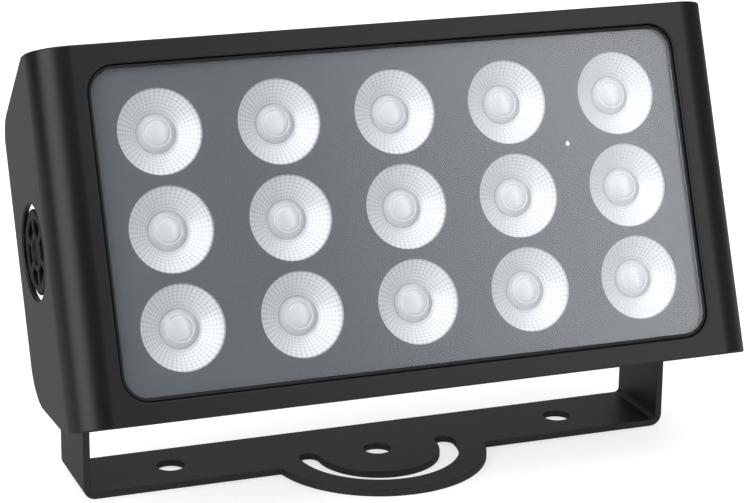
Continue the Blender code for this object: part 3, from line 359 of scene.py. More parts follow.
def makeSurfaceGroup():
    # Slow colour and gloss variation with a fine moulded or sprayed texture
    group = bpy.data.node_groups.new("surface variation", "ShaderNodeTree")
    numbers = ("Tint", "Roughness", "Gloss Change", "Patch Scale", "Grain Scale", "Grain")
    rows = [("Color", "INPUT", "Color")] + [(name, "INPUT", "Float") for name in numbers]
    rows += [("Color", "OUTPUT", "Color"), ("Roughness", "OUTPUT", "Float"), ("Height", "OUTPUT", "Float")]
    for name, way, kind in rows:
        group.interface.new_socket(name, in_out=way, socket_type=f"NodeSocket{kind}")
    given = addNode(group, "NodeGroupInput").outputs
    where = objectPlace(group)
    patches = addNode(group, "ShaderNodeTexNoise", {
        "Vector": where, "Scale": given["Patch Scale"], "Detail": 3,
    })
    grain = addNode(group, "ShaderNodeTexNoise", {
        "Vector": where, "Scale": given["Grain Scale"], "Detail": 2, "Roughness": 0.6,
    })
    offset = mathNode(group, "SUBTRACT", patches.outputs["Fac"], 0.5)
    factor = mathNode(group, "ADD", mathNode(group, "MULTIPLY", offset, given["Tint"]), 1.0)
    tinted = addNode(group, "ShaderNodeVectorMath", {0: given["Color"], "Scale": factor}, operation="SCALE")
    shift = mathNode(group, "MULTIPLY", offset, given["Gloss Change"])
    addNode(group, "NodeGroupOutput", {
        "Color": tinted.outputs[0],
        "Roughness": mathNode(group, "ADD", shift, given["Roughness"], True),
        "Height": mathNode(group, "MULTIPLY", grain.outputs["Fac"], given["Grain"]),
    })
    return group


surfaceGroup = makeSurfaceGroup()

# What a finish has unless its own look says otherwise
plainLook = {
    "tint": 0.15, "glossChange": 0.08, "patchScale": 18, "grainScale": 900, "grain": 1.0,
    "bump": 0.08, "bumpDistance": 0.0002, "metallic": 0.0, "coat": 0.0, "coatRoughness": 0.1,
    "specular": 0.5, "trackShade": 0.9, "trackScale": 120, "trackWidth": 0.03,
}


def creaseShadedColor(tree, base, look):
    # Painted shade: darker along the creases between the quilted dish's pillows, and greyer on the dome
    creaseShadeAndDomeGrey = addNode(tree, "ShaderNodeAttribute", attribute_name="creaseShadeAndDomeGrey")
    sharper = mathNode(tree, "POWER", creaseShadeAndDomeGrey.outputs["Fac"], look["creaseShadeSharpness"])
    values = {"Factor": sharper, 6: base, 7: (*look["creaseShadeColor"], 1)}
    return addNode(tree, "ShaderNodeMix", values, data_type="RGBA").outputs[2]


def trackedColor(tree, look):
    # Printed board: solder mask over faint tracks
    turn = addNode(tree, "ShaderNodeMapping", {
        "Vector": objectPlace(tree), "Rotation": (math.radians(90) - restTilt, 0, 0),
    })
    darker = [value * look["trackShade"] for value in look["color"]]
    return addNode(tree, "ShaderNodeTexBrick", {
        "Vector": turn.outputs["Vector"], "Color1": (*look["color"], 1), "Color2": (*darker, 1),
        "Mortar": (*look["trackColor"], 1), "Mortar Size": look["trackWidth"],
        "Scale": look["trackScale"],
    }, offset=0.5).outputs["Color"]


def newMaterial(name, look):
    material, tree, shader = startMaterial(name)
    variation = addNode(tree, "ShaderNodeGroup", {
        "Color": (*look["color"], 1), "Tint": look["tint"], "Roughness": look["roughness"],
        "Gloss Change": look["glossChange"], "Patch Scale": look["patchScale"],
        "Grain Scale": look["grainScale"], "Grain": look["grain"],
    }, node_tree=surfaceGroup)
    color = variation.outputs["Color"]
    bump = addNode(tree, "ShaderNodeBump", {
        "Strength": look["bump"], "Distance": look["bumpDistance"], "Height": variation.outputs["Height"],
    })
    setInputs(shader, {
        "Base Color": color, "Roughness": variation.outputs["Roughness"],
        "Normal": bump.outputs["Normal"], "Metallic": look["metallic"], "Coat Weight": look["coat"],
        "Coat Roughness": look["coatRoughness"], "Specular IOR Level": look["specular"],
    })
    if "creaseShadeColor" in look:
        setInputs(shader, {"Base Color": creaseShadedColor(tree, color, look)})
    if "trackColor" in look:
        setInputs(shader, {"Base Color": trackedColor(tree, look)})
    if "matt" in look:
        # Part of the surface is dead matt, so that it stays dark at a grazing angle
        mixShaders(tree, look["matt"], shader, addNode(tree, "ShaderNodeBsdfDiffuse", {"Color": color}))
    return material


def newGlass(name, look):
    # Clear to the lamps' light, so that what stands behind it is lit
    material, tree, shader = startMaterial(name)
    smear = addNode(tree, "ShaderNodeTexNoise", {"Vector": objectPlace(tree), "Scale": look["smearScale"]})
    bump = addNode(tree, "ShaderNodeBump", {
        "Strength": look["smear"], "Distance": look["bumpDistance"], "Height": smear.outputs["Fac"],
    })
    setInputs(shader, {
        "Base Color": (*look["color"], 1), "Transmission Weight": 1.0, "Roughness": look["roughness"],
        "IOR": look["refraction"], "Normal": bump.outputs["Normal"],
    })
    rays = addNode(tree, "ShaderNodeLightPath").outputs
    either = mathNode(tree, "MAXIMUM", rays["Is Shadow Ray"], rays["Is Diffuse Ray"])
    mixShaders(tree, either, shader, addNode(tree, "ShaderNodeBsdfTransparent"))
    return material


# Each finish: its material's name, its slot in the record and its look. A finish that only CAD
# nodes wear needs no slot.
finishes = {
    "casting": ("satin black casting", "black_casting", {
        "color": (0.005, 0.0051, 0.006), "roughness": 0.33, "tint": 0.4, "glossChange": 0.06,
        "patchScale": 14, "grainScale": 1100, "bump": 0.1, "specular": 1.0, "matt": 0.76,
    }),
    "steel": ("satin black steel", "black_steel", {
        "color": (0.014, 0.0145, 0.015), "roughness": 0.45, "tint": 0.3, "glossChange": 0.06,
        "patchScale": 20, "grainScale": 1400, "bump": 0.12, "specular": 1.0, "matt": 0.76,
    }),
    "rubber": ("black rubber", "black_rubber", {
        "color": (0.006, 0.006, 0.007), "roughness": 0.6, "tint": 0.3, "grainScale": 1800,
        "bump": 0.15, "specular": 0.3,
    }),
    "mask": ("blue-grey mask", "dark_mask", {
        "color": (0.066, 0.076, 0.089), "roughness": 0.45, "tint": 0.08, "grainScale": 1500,
        "bump": 0.01, "specular": 0.3,
    }),
    "lens": ("quilted lens plastic", "lens_plastic", {
        # Painted shade: the darker colour is laid into the creases between the dish's pillows, and greys
        # the dome
        "color": (0.61, 0.635, 0.66), "creaseShadeColor": (0.28, 0.31, 0.34), "creaseShadeSharpness": 2.2,
        "roughness": 0.2, "tint": 0.06, "glossChange": 0.05, "patchScale": 60, "bump": 0.02,
        "coat": 0.3,
    }),
    "zinc": ("zinc plated steel", "zinc_steel", {
        "color": (0.62, 0.62, 0.60), "roughness": 0.3, "metallic": 1.0, "tint": 0.2,
        "patchScale": 120, "grainScale": 2500, "bump": 0.1,
    }),
    "brass": ("turned brass", "brass_insert", {
        "color": (0.72, 0.53, 0.23), "roughness": 0.28, "metallic": 1.0, "tint": 0.2,
        "patchScale": 150, "grainScale": 2500, "bump": 0.1,
    }),
    "aluminium": ("folded aluminium", None, {
        "color": (0.7, 0.71, 0.72), "roughness": 0.36, "metallic": 1.0, "tint": 0.1,
        "patchScale": 40, "grainScale": 2000, "bump": 0.1,
    }),
    "nylon": ("white nylon", "white_nylon", {
        "color": (0.72, 0.71, 0.67), "roughness": 0.5, "tint": 0.08, "bump": 0.05,
    }),
    "blackPlastic": ("satin black plastic", "black_plastic", {
        "color": (0.006, 0.006, 0.007), "roughness": 0.4, "tint": 0.3, "grainScale": 1600,
        "bump": 0.15, "specular": 1.0, "matt": 0.85,
    }),
    "bluePlastic": ("blue plastic", "blue_plastic", {
        "color": (0.02, 0.10, 0.42), "roughness": 0.36, "tint": 0.12, "grainScale": 1600,
        "bump": 0.12,
    }),
    "greyPlastic": ("grey plastic", "grey_plastic", {
        "color": (0.42, 0.43, 0.44), "roughness": 0.4, "tint": 0.08, "grainScale": 1600,
        "bump": 0.12,
    }),
    "whiteBoard": ("white board", None, {
        "color": (0.78, 0.78, 0.75), "trackColor": (0.6, 0.6, 0.57), "roughness": 0.35,
        "bump": 0.1,
    }),
    "greenBoard": ("green board", None, {
        "color": (0.015, 0.15, 0.06), "trackColor": (0.03, 0.22, 0.1), "roughness": 0.35,
        "bump": 0.1,
    }),
    "glass": ("clear glass", "clear_glass", {
        "color": (0.985, 0.99, 0.995), "roughness": 0.02, "refraction": 1.33, "smear": 0.01,
        "smearScale": 30,
    }),
}
materials = {}
for finish, (materialName, _, look) in finishes.items():
    makeFinish = newGlass if "refraction" in look else newMaterial
    materials[finish] = makeFinish(materialName, {**plainLook, **look})
print("materials made")


# Front casing

casing = {
    "halfWidth": 0.1695, "halfHeight": 0.0865, "depth": 0.078, "rimDepth": 0.024,
    "rimThickness": 0.0035, "cheekThickness": 0.003, "cheekStart": 0.020, "cornerRadius": 0.018,
    "insideCorner": 0.008, "topSlope": 24, "bottomSlope": 18.5, "rearTopRadius": 0.015,
    "rearBottomRadius": 0.022, "knobOpening": 0.0225, "groove": 0.002, "ledge": 0.0065,
    "notchInner": 0.145, "edge": 0.0009, "screwX": 0.11296, "screwZ": 0.079, "screwHole": 0.0018,
    "screwHoleFront": 0.0049,
}


def makeCheek(side):
    # Side of the casing behind the rim, with its two rear corners rounded
    half, high, depth = casing["halfWidth"], casing["halfHeight"], casing["depth"]
    rim, start, thick = casing["rimDepth"], casing["cheekStart"], casing["cheekThickness"]
    rearTop = high - (depth - rim) * math.tan(math.radians(casing["topSlope"]))
    rearBottom = (depth - rim) * math.tan(math.radians(casing["bottomSlope"])) - high
    corners = [
        (start, -high), (rim, -high), (depth, rearBottom), (depth, rearTop), (rim, high), (start, high),
    ]
    inner = side * (half - thick)
    bm = prism([(inner, y, z) for y, z in corners], (side * thick, 0, 0))
    rows = (
        (casing["rearTopRadius"], 90 + casing["topSlope"], rearTop),
        (casing["rearBottomRadius"], 90 + casing["bottomSlope"], rearBottom),
    )
    for radius, angle, height in rows:
        bevelWhere(
            bm,
            lambda a, b: not near(a.x, b.x, thick / 3) and near(a.z, height)
            and near(a.y, depth) and near(b.y, depth),
            radius / math.tan(math.radians(angle / 2)), 12,
        )
    return bm


def roundFrontUprights(bm, half, front, radius, steps):
    bevelWhere(
        bm,
        lambda a, b: not near(a.z, b.z, radius) and near(a.x, b.x) and near(abs(a.x), half)
        and near(a.y, front) and near(b.y, front),
        radius, steps,
    )


def makeFrontCasing():
    half, high, depth = casing["halfWidth"], casing["halfHeight"], casing["rimDepth"]
    rimBlock = block((-half, 0, -high), (half, depth, high))
    roundFrontUprights(rimBlock, half, 0, casing["cornerRadius"], 20)
    inner = half - casing["cheekThickness"]
    rim = high - casing["rimThickness"]
    back, ledge, steps = head["ledgeBack"], casing["ledge"], head["cornerSteps"]
    room = block((-inner, back, -rim), (inner, 2 * depth, rim))
    roundFrontUprights(room, inner, back, casing["insideCorner"], 8)
    pocket = roundedBlock(head["glass"], steps, -2 * past, head["ledgeFront"], grow=casing["groove"])
    glassX, glassZ, corner = head["glass"]
    light = roundedBlock((glassX - ledge, glassZ - ledge, corner), steps, past, back + 3 * past)
    changes, notches = cutBy(room, pocket, light), []
    for _, side in sides:
        ends = sorted((side * casing["notchInner"], side * inner))
        notches += cutBy(block(
            (ends[0], head["flangeBack"], -2 * high), (ends[1], depth + fit, fit - rim),
        ))
        middle = side * (half - casing["cheekThickness"] / 2)
        opening = alongX(middle, head["pivotDepth"], -head["pivotDrop"])
        changes.append(("UNION", makeCheek(side)))
        changes += cutBy(rod(casing["knobOpening"], 3 * casing["cheekThickness"], opening, 96))
        for end in (-1, 1):
            screw = alongY(side * casing["screwX"], back, end * casing["screwZ"])
            changes += cutBy(rod(casing["screwHole"], 2 * (back - casing["screwHoleFront"]), screw, 24))
    bm = combined(rimBlock, *changes)
    softened(bm, casing["edge"], 3)
    addHeadPiece("frontCasing", combined(bm, *notches), "casting", ["front_casing"])


makeFrontCasing()
print("front casing made")


# Glass, seal, mask and status light

pane = {"edge": 0.0004, "sealWidth": 0.0014, "sealFront": 0.0014, "sealRound": 0.3, "windowSteps": 64}
status = {
    "x": 1.5 * head["lensPitchX"], "z": 0.5 * head["lensPitchZ"], "radius": 0.0014, "length": 0.0253,
    "tip": ((0, 0), (0.5, 0.00008), (0.85, 0.0003), (1, 0.0007)),  # Share of the radius, drop
}


def makeGlass():
    bm = roundedBlock(head["glass"], head["cornerSteps"], head["glassFront"], head["glassBack"])
    addHeadPiece("frontGlass", softened(bm, pane["edge"]), "glass", ["front_glass"])


def makeSeal():
    width, front = pane["sealWidth"], pane["sealFront"]
    bm = roundedFace(bmesh.new(), head["glass"], head["cornerSteps"], front, grow=fit + width)
    middle = bm.faces[:]
    bmesh.ops.inset_region(bm, faces=middle, thickness=width, use_even_offset=True, use_boundary=True)
    bmesh.ops.delete(bm, geom=middle, context="FACES_ONLY")
    thicken(bm, bm.faces[:], (0, head["maskBack"] - front, 0))
    softened(bm, width * pane["sealRound"], 3)
    addHeadPiece("glassSeal", bm, "rubber", ["glass_seal"])


def lensPlaces():
    for row in range(3):
        for column in range(5):
            x = (column - 2) * head["lensPitchX"]
            z = (1 - row) * head["lensPitchZ"]
            yield f"{row + 1}{column + 1}", x, z


def makeMask():
    front = head["maskFront"]
    outline = roundedFace(bmesh.new(), head["glass"], head["cornerSteps"], front)
    holes = [(head["windowRadius"], x, z, pane["windowSteps"]) for _, x, z in lensPlaces()]
    holes.append((status["radius"] + fit, status["x"], status["z"], 24))
    bm = plateWithHoles(outline, holes, front, head["maskBack"])
    addHeadPiece("lensMask", bm, "mask", ["lens_mask"], weighted=False)


def makeStatusLight():
    radius, length = status["radius"], status["length"]
    profile = [(radius * share, -drop) for share, drop in status["tip"]]
    bm = turnedMesh(profile + [(radius, -length), (0, -length)], 24)
    place = facingFront(status["x"], head["maskFront"], status["z"])
    addHeadPiece("statusLight", bm, "lens", ["status_light"], place)


makeGlass()
makeSeal()
makeMask()
makeStatusLight()
print("glass and mask made")


# Lenses, whose collar and outside are points of radius and height

lens = {
    "dishRadius": 0.0198, "dishFoot": 0.0093, "dishDepth": 0.0071, "dishCurve": 1.12, "rings": 7,
    "spokes": 48, "pillow": 0.00028, "pillowEdge": 0.0001, "domeRadius": 0.0059, "domeFoot": 0.0043,
    "domeRise": 0.0013, "domeSteps": 8, "domeShade": 0.6, "edgeShade": 0.45, "cornerShade": 1.0,
    "collar": (
        (0.0061, -0.0044), (0.0062, -0.0041), (0.0064, -0.0040), (0.0066, -0.0041),
        (0.0068, -0.0045), (0.0085, -0.0071), (0.0087, -0.0074), (0.0089, -0.0073),
        (0.0090, -0.0070), (0.0092, -0.0069),
    ),
    "outside": (
        (0.0203, 0.0), (0.0207, -0.0001), (0.0208, -0.0004), (0.0208, -0.002), (0.0165, -0.0095),
        (0.009, -0.0237), (0.0045, -0.0237), (0.0045, -0.0207), (0, -0.0207),
    ),
}


def lensProfile():
    # From the dome's top over its collar, down to the dish's foot, up the dish and down the bell
    points = []
    for step in range(lens["domeSteps"] + 1):
        turn = math.radians(90) * step / lens["domeSteps"]
        height = lens["domeRise"] * math.cos(turn) - lens["domeFoot"]
        points.append((lens["domeRadius"] * math.sin(turn), height))
    points += lens["collar"]
    for ring in range(lens["rings"] + 1):
        part = ring / lens["rings"]
        radius = lens["dishFoot"] + (lens["dishRadius"] - lens["dishFoot"]) * part
        points.append((radius, -lens["dishDepth"] * (1 - part) ** lens["dishCurve"]))
    return points + list(lens["outside"])


def quiltDish(bm):
    # Splits every cell of the dish in four, lifts its middle and marks painted shade along its creases
    low, high, bottom = lens["dishFoot"], lens["dishRadius"], -lens["dishDepth"]
    cells = []
    for face in bm.faces:
        middle = face.calc_center_median()
        if low < middle.xy.length < high and middle.z > bottom and face.normal.z > 0:
            cells.append(face)
    edges = list({edge for face in cells for edge in face.edges})
    bmesh.ops.subdivide_edges(bm, edges=edges, cuts=1, use_grid_fill=True)
    creaseShadeAndDomeGrey = bm.verts.layers.float.new("creaseShadeAndDomeGrey")
    bm.normal_update()
    moves = []
    slack = 0.0001
    for vert in bm.verts:
        radius = vert.co.xy.length
        if radius < lens["domeRadius"] - slack and vert.co.z > -lens["domeFoot"]:
            # The dome is a little greyer than the dish
            vert[creaseShadeAndDomeGrey] = lens["domeShade"]
        if not (low - slack < radius < high + slack and vert.co.z > bottom - slack):
            continue
        across = (radius - low) / (high - low) * lens["rings"]
        around = math.atan2(vert.co.y, vert.co.x) * lens["spokes"] / math.tau
        between = [abs(value - round(value)) > 0.25 for value in (across, around)]
        # Pillow middles are lifted; painted shade darkens the crease lines, most where they cross
        if all(between):
            moves.append((vert, lens["pillow"]))
        elif any(between):
            vert[creaseShadeAndDomeGrey] = lens["edgeShade"]
            moves.append((vert, lens["pillowEdge"]))
        else:
            vert[creaseShadeAndDomeGrey] = lens["cornerShade"]
    for vert, lift in moves:
        vert.co += vert.normal * lift
    return bm


def makeLenses():
    master = quiltDish(turnedMesh(lensProfile(), lens["spokes"]))
    for label, x, z in lensPlaces():
        place = facingFront(x, head["ledgeFront"], z)
        addHeadPiece(f"lens{label}", master.copy(), "lens", [f"lens_{label}"], place,
                     smoothAngle=50, weighted=False)
    master.free()


makeLenses()
print("lenses made")


# Yoke

yoke = {
    "halfX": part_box("yoke")[1].x, "armInner": 0.1478, "halfY": 0.0218, "bend": 0.006,
    "lugRadius": 0.020, "shoulder": 30, "holeRadius": 0.00675, "holeY": -0.0123,
    "sideHoleX": 0.1025, "slotRadius": 0.03565, "slotWidth": 0.0095, "noseRadius": 0.054,
    "noseLap": 0.002, "noseFillet": 0.0075, "pivotHole": 0.0060, "edge": 0.0005,
}


def makeYoke():
    outer, inner, half, lug = yoke["halfX"], yoke["armInner"], yoke["halfY"], yoke["lugRadius"]
    thick = outer - inner
    top = pivot.z + lug + past
    front = pivot.y - lug - past
    section = [
        (-outer, 0), (outer, 0), (outer, top), (inner, top), (inner, thick), (-inner, thick),
        (-inner, top), (-outer, top),
    ]
    strip = prism([(x, front, z) for x, z in section], (0, half + past - front, 0))
    for x, z, radius in ((outer, 0, yoke["bend"]), (inner, thick, yoke["bend"] - thick)):
        bevelWhere(
            strip,
            lambda a, b: near(abs(a.x), x) and near(a.z, z) and near(a.z, b.z) and near(a.x, b.x),
            radius, 12,
        )

    # Side view of the arms: a strip with a sloped shoulder, run into a round lug
    slope = math.radians(yoke["shoulder"])
    tangentY = pivot.y + lug * math.cos(slope)
    tangentZ = pivot.z + lug * math.sin(slope)
    shoulderZ = tangentZ - (half - tangentY) / math.tan(slope)
    meetZ = pivot.z - math.sqrt(lug ** 2 - (-half - pivot.y) ** 2)
    reach = outer + 5 * past
    outline = (
        (-half, -5 * past), (half, -5 * past), (half, shoulderZ), (tangentY, tangentZ),
        (pivot.y, pivot.z), (-half, meetZ),
    )
    arm = prism([(-reach, y, z) for y, z in outline], (2 * reach, 0, 0))
    sideView = combined(arm, ("UNION", rod(lug, 2 * reach, alongX(0, pivot.y, pivot.z), 96)))

    # Round nose, cut off straight where it runs into the bar
    nose = rod(yoke["noseRadius"], thick, alongZ(0, yoke["holeY"], thick / 2), 160)
    cut = bmesh.ops.bisect_plane(
        nose, geom=nose.verts[:] + nose.edges[:] + nose.faces[:],
        plane_co=(0, yoke["noseLap"] - half, 0), plane_no=(0, 1, 0), clear_outer=True,
    )
    bmesh.ops.edgeloop_fill(nose, edges=onlyEdges(cut["geom_cut"]))
    bm = combined(strip, ("INTERSECT", sideView), ("UNION", faceOutwards(nose)))
    meetX = math.sqrt(yoke["noseRadius"] ** 2 - (half + yoke["holeY"]) ** 2)
    bevelWhere(
        bm,
        lambda a, b: near(abs(a.x), meetX, 0.0006) and near(a.y, -half, 0.0003)
        and not near(a.z, b.z, thick / 2) and near(a.x, b.x, 0.0002),
        yoke["noseFillet"], 8,
    )

    # Half-round slot: a ring sector with round ends; then the round holes
    mid, wide = yoke["slotRadius"], yoke["slotWidth"] / 2
    slot = ringSector(mid - wide, mid + wide, -thick, 2 * thick, math.pi, 72, turn=-1)
    moveTo(slot, Matrix.Translation((0, yoke["holeY"], 0)))
    changes = cutBy(slot)
    for x in (-mid, mid):
        changes += cutBy(rod(wide, 3 * thick, alongZ(x, yoke["holeY"], thick / 2), 48))
    for x, y in ((-yoke["sideHoleX"], 0), (0, yoke["holeY"]), (yoke["sideHoleX"], 0)):
        changes += cutBy(rod(yoke["holeRadius"], 4 * thick, alongZ(x, y, thick / 2), 72))
    for _, side in sides:
        place = alongX(side * (outer - thick / 2), pivot.y, pivot.z)
        changes += cutBy(rod(yoke["pivotHole"], 4 * thick, place, 48))
    bm = softened(combined(bm, *changes), yoke["edge"])
    addPiece("yokeBracket", bm, "steel", "yoke_frame", ["yoke"])


makeYoke()
print("yoke made")


# Pivot pieces and lock knobs, with their heights from the pivot's middle outwards

pivotSet = {
    "boss": 0.1458, "shaft": 0.0043, "studRadius": 0.004, "studSeat": 0.0145, "studGap": 0.00175,
    "studChamfer": 0.0008, "threadGap": 0.0005, "threadTurns": 12, "threadPitch": 0.00125,
    "threadRoot": 0.0006, "threadCrest": 0.0011, "flangeRadius": 0.013, "flange": 0.0014,
    "washer": 0.0014, "insertRadius": 0.0075, "knobFace": 0.1684, "cap": 0.004,
}
knob = {
    "radius": 0.020, "lobes": 6, "lobeDepth": 0.0012, "rimSteps": 144, "hubRadius": 0.009,
    "ringWidth": 0.0035, "spokeAngle": 16, "pocketDepth": 0.005, "dimpleDepth": 0.0009,
    "dimpleRadius": 0.0062, "dimpleFlare": 0.0068, "edge": 0.0005,
}
washerSeat = yoke["halfX"] + fit
knobSeat = washerSeat + pivotSet["washer"] + fit
boreTop = pivotSet["knobFace"] - pivotSet["cap"]


def tube(inner, outer, low, high):
    # Profile of a plain ring
    return [(inner, high), (outer, high), (outer, low), (inner, low)]


def makePivotPieces():
    shaft, flange, flangeRadius = pivotSet["shaft"], pivotSet["flange"], pivotSet["flangeRadius"]
    radius, chamfer = pivotSet["studRadius"], pivotSet["studChamfer"]
    insertFace = boreTop - fit
    studEnd = insertFace - pivotSet["studGap"]
    stud = [(0, studEnd), (radius - chamfer, studEnd), (radius, studEnd - chamfer)]
    root, crest = pivotSet["threadRoot"], pivotSet["threadCrest"]
    for turn in range(pivotSet["threadTurns"]):
        # Thread crests and roots over the outer part
        height = studEnd - chamfer - pivotSet["threadGap"] - turn * pivotSet["threadPitch"]
        stud += [(radius, height), (radius - root, height - root), (radius, height - crest)]
    studFoot = pivotSet["boss"] - pivotSet["studSeat"]
    stud += [(radius, studFoot), (0, studFoot)]
    bushSeat, bushEnd = pivotSet["boss"] + fit, yoke["halfX"] - fit
    bush = [
        (shaft, bushEnd), (shaft + flange, bushEnd), (shaft + flange, bushSeat + flange),
        (flangeRadius, bushSeat + flange), (flangeRadius, bushSeat), (shaft, bushSeat),
    ]
    washer = tube(shaft, flangeRadius, washerSeat, washerSeat + pivotSet["washer"])
    insert = tube(shaft, pivotSet["insertRadius"], knobSeat, insertFace)
    for name, side in sides:
        rows = (
            ("pivotStud", stud, False, "zinc", "lamp_head", "pivot_stud", 0.0),
            ("pivotBush", bush, True, "nylon", "yoke_frame", "pivot_bush", 0.0002),
            ("pivotWasher", washer, True, "zinc", "yoke_frame", "pivot_washer", 0.0002),
            ("knobInsert", insert, True, "brass", f"insert_{name}", "knob_insert", 0.0003),
        )
        for label, profile, closed, finish, body, node, edge in rows:
            bm = turnedMesh(profile, 48, closed)
            if edge:
                softened(bm, edge)
            moveTo(bm, sidePlace(side))
            addPiece(f"{label}_{name}", bm, finish, body, [f"{node}_{name}"])


def lobedSolid(low, high):
    # A round blank whose rim is pulled in between its lobes
    bm = bmesh.new()
    addCircle(bm, knob["radius"], knob["rimSteps"], alongZ(0, 0, low))
    for vert in bm.verts:
        angle = math.atan2(vert.co.y, vert.co.x)
        inward = knob["lobeDepth"] * (1 - math.cos(knob["lobes"] * angle)) / 2
        vert.co.xy *= 1 - inward / knob["radius"]
    return thicken(bm, bm.faces[:], (0, 0, high - low))


def makeKnobs():
    face, lobes = pivotSet["knobFace"], knob["lobes"]
    ring = knob["radius"] - knob["lobeDepth"] - knob["ringWidth"]
    half = math.pi / lobes - math.radians(knob["spokeAngle"]) / 2
    changes = cutBy(rod(pivotSet["insertRadius"] + fit, 2 * (boreTop - knobSeat), alongZ(0, 0, knobSeat)))
    for index in range(lobes):
        low, high = face - knob["pocketDepth"], face + 3 * past
        pocket = ringSector(knob["hubRadius"], ring, low, high, 2 * half, 12)
        middle = math.tau * (index + 0.5) / lobes
        changes += cutBy(moveTo(pocket, Matrix.Rotation(middle - half, 4, "Z")))
    low, high = face - knob["dimpleDepth"], face + 2 * past
    changes += cutBy(turnedMesh(
        [(0, low), (knob["dimpleRadius"], low), (knob["dimpleFlare"], high), (0, high)], 48,
    ))
    master = softened(combined(lobedSolid(knobSeat, face), *changes), knob["edge"], 3)
    for name, side in sides:
        bm = moveTo(master.copy(), sidePlace(side))
        addPiece(f"lockKnob_{name}", bm, "blackPlastic", f"knob_{name}", [f"lock_knob_{name}"])
    master.free()


makePivotPieces()
makeKnobs()
print("pivots and knobs made")


# Rear housing and casing screws, from their CAD solids

def refinedCopy(name, node, finish, edge=0.0):
    bm = bmesh.new()
    bm.from_mesh(frame["nodes"][node].data)
    mergeDoubles(bm, 0.00002)
    flatten(bm, 0.5)
    # Faces with holes are cut up first, or the bevel closes their holes
    wide = [face for face in bm.faces if len(face.verts) > 4]
    bmesh.ops.triangulate(bm, faces=wide, ngon_method="EAR_CLIP")
    if edge:
        softened(bm, edge, angle=35)
    addPiece(name, bm, finish, "lamp_head", [node])


refinedCopy("heatSink", "rear_housing", "casting", 0.0003)
print("rear housing made")


# Rear cover and what it carries

cover = {
    "outline": (0.0762, 0.0517, 0.0014), "cornerSteps": 6, "edge": 0.0004, "controlsZ": 0.024,
    "socketsZ": -0.024, "socketPitch": 0.036, "screwX": 0.0688, "screwZ": 0.0443,
    "screwRadius": 0.0015, "ventX": 0.060,
}
screw = {
    "radius": 0.00275, "height": 0.0022, "shank": 0.0015, "length": 0.0114, "key": 0.0012,
    "keyDepth": 0.0014,
    # Shares of the radius and height
    "crown": ((0, 1), (0.55, 1), (0.8, 0.86), (0.95, 0.55), (1, 0.2), (1, 0)),
}
button = {
    "x": 0.004, "pitch": 0.013, "radius": 0.004, "proud": 0.0014, "collar": 0.0052,
    "collarDepth": 0.0014, "stem": 0.002, "stemDepth": 0.0032,
    # Share of the radius and drop from the top
    "cap": ((0, 0.0004), (0.45, 0.0003), (0.72, 0.0001), (0.85, 0), (0.94, 0.0002), (1, 0.0006)),
}
display = {
    "outline": (0.022, 0.0075, 0.0014), "x": -0.036, "windowDepth": 0.0018, "windowEdge": 0.0003,
    "moduleDepth": 0.0064, "moduleEdge": 0.0002, "recess": (0.019, 0.0055, 0.0006),
    "recessDepth": 0.0008,
}
socket = {
    "outline": (0.013, 0.0155, 0.003), "flange": 0.002, "bodyRadius": 0.0117, "bodyLength": 0.018,
    "bodySink": 0.001, "cavityDepth": 0.015, "collar": 0.0016, "keyHalf": 0.0014, "keyDepth": 0.006,
    "keyHeight": 0.0008, "pinRadius": 0.0012, "pinCircle": 0.0045, "pinLength": 0.011,
    "pinTip": 0.0004, "earX": 0.0098, "earZ": 0.0122, "earHole": 0.0014, "earGap": 0.0001,
    "earScrew": (0.7, 0.7, 0.6), "earScrewLength": 0.001, "edge": 0.0003,
}
vent = {
    "nutRadius": 0.006, "nutHeight": 0.002, "edge": 0.0003, "stem": 0.003, "stemLength": 0.0036,
    "stemMiddle": -0.0016,
    "cap": ((0, 0.0026), (0.003, 0.0025), (0.0038, 0.0021), (0.0039, 0.001), (0, 0.001)),
}
buttonNames = ("menu_button", "down_button", "up_button", "enter_button")
# Name, finish and radius of the cavity
sockets = (
    ("power_inlet", "bluePlastic", 0.0098), ("power_outlet", "greyPlastic", 0.0098),
    ("data_inlet", "blackPlastic", 0.0085), ("data_outlet", "blackPlastic", 0.0085),
)


def coverScrewPlaces():
    return [(a * cover["screwX"], b * cover["screwZ"]) for b in (1, -1) for a in (-1, 1)]


def socketX(index):
    return (index - 1.5) * cover["socketPitch"]


def buttonX(index):
    return button["x"] + index * button["pitch"]


def makeRearCover():
    front, controls = head["coverFront"], cover["controlsZ"]
    outline = roundedFace(bmesh.new(), cover["outline"], cover["cornerSteps"], front)
    roundedFace(outline, display["outline"], cover["cornerSteps"], front, display["x"], controls, fit)
    holes = [(cover["screwRadius"] + fit, x, z, 24) for x, z in coverScrewPlaces()]
    for index in range(4):
        holes.append((button["radius"] + fit, buttonX(index), controls, 32))
        holes.append((socket["bodyRadius"] + fit, socketX(index), cover["socketsZ"], 48))
    holes.append((vent["stem"] + fit, cover["ventX"], controls, 32))
    bm = plateWithHoles(outline, holes, front, head["coverBack"])
    flatten(bm)
    softened(bm, cover["edge"])
    addHeadPiece("rearCover", bm, "steel", ["rear_cover"], slotName="black_sheet")


def screwMesh(length):
    # Button head with a hexagon socket
    radius, height, shank = screw["radius"], screw["height"], screw["shank"]
    profile = [(radius * across, height * up) for across, up in screw["crown"]]
    profile += [(shank, 0), (shank, -length), (0, -length)]
    key = rod(screw["key"], 2 * screw["keyDepth"], alongZ(0, 0, height), 6)
    return combined(turnedMesh(profile, 32), *cutBy(key))


def makeScrews():
    for number, (x, z) in enumerate(coverScrewPlaces(), 1):
        addHeadPiece(f"coverScrew{number}", screwMesh(screw["length"]), "zinc",
                     [f"cover_screw_{number}"], alongY(x, head["fittingSeat"], z))
    for number in range(1, 5):
        refinedCopy(f"casingScrew{number}", f"casing_screw_{number}", "zinc")


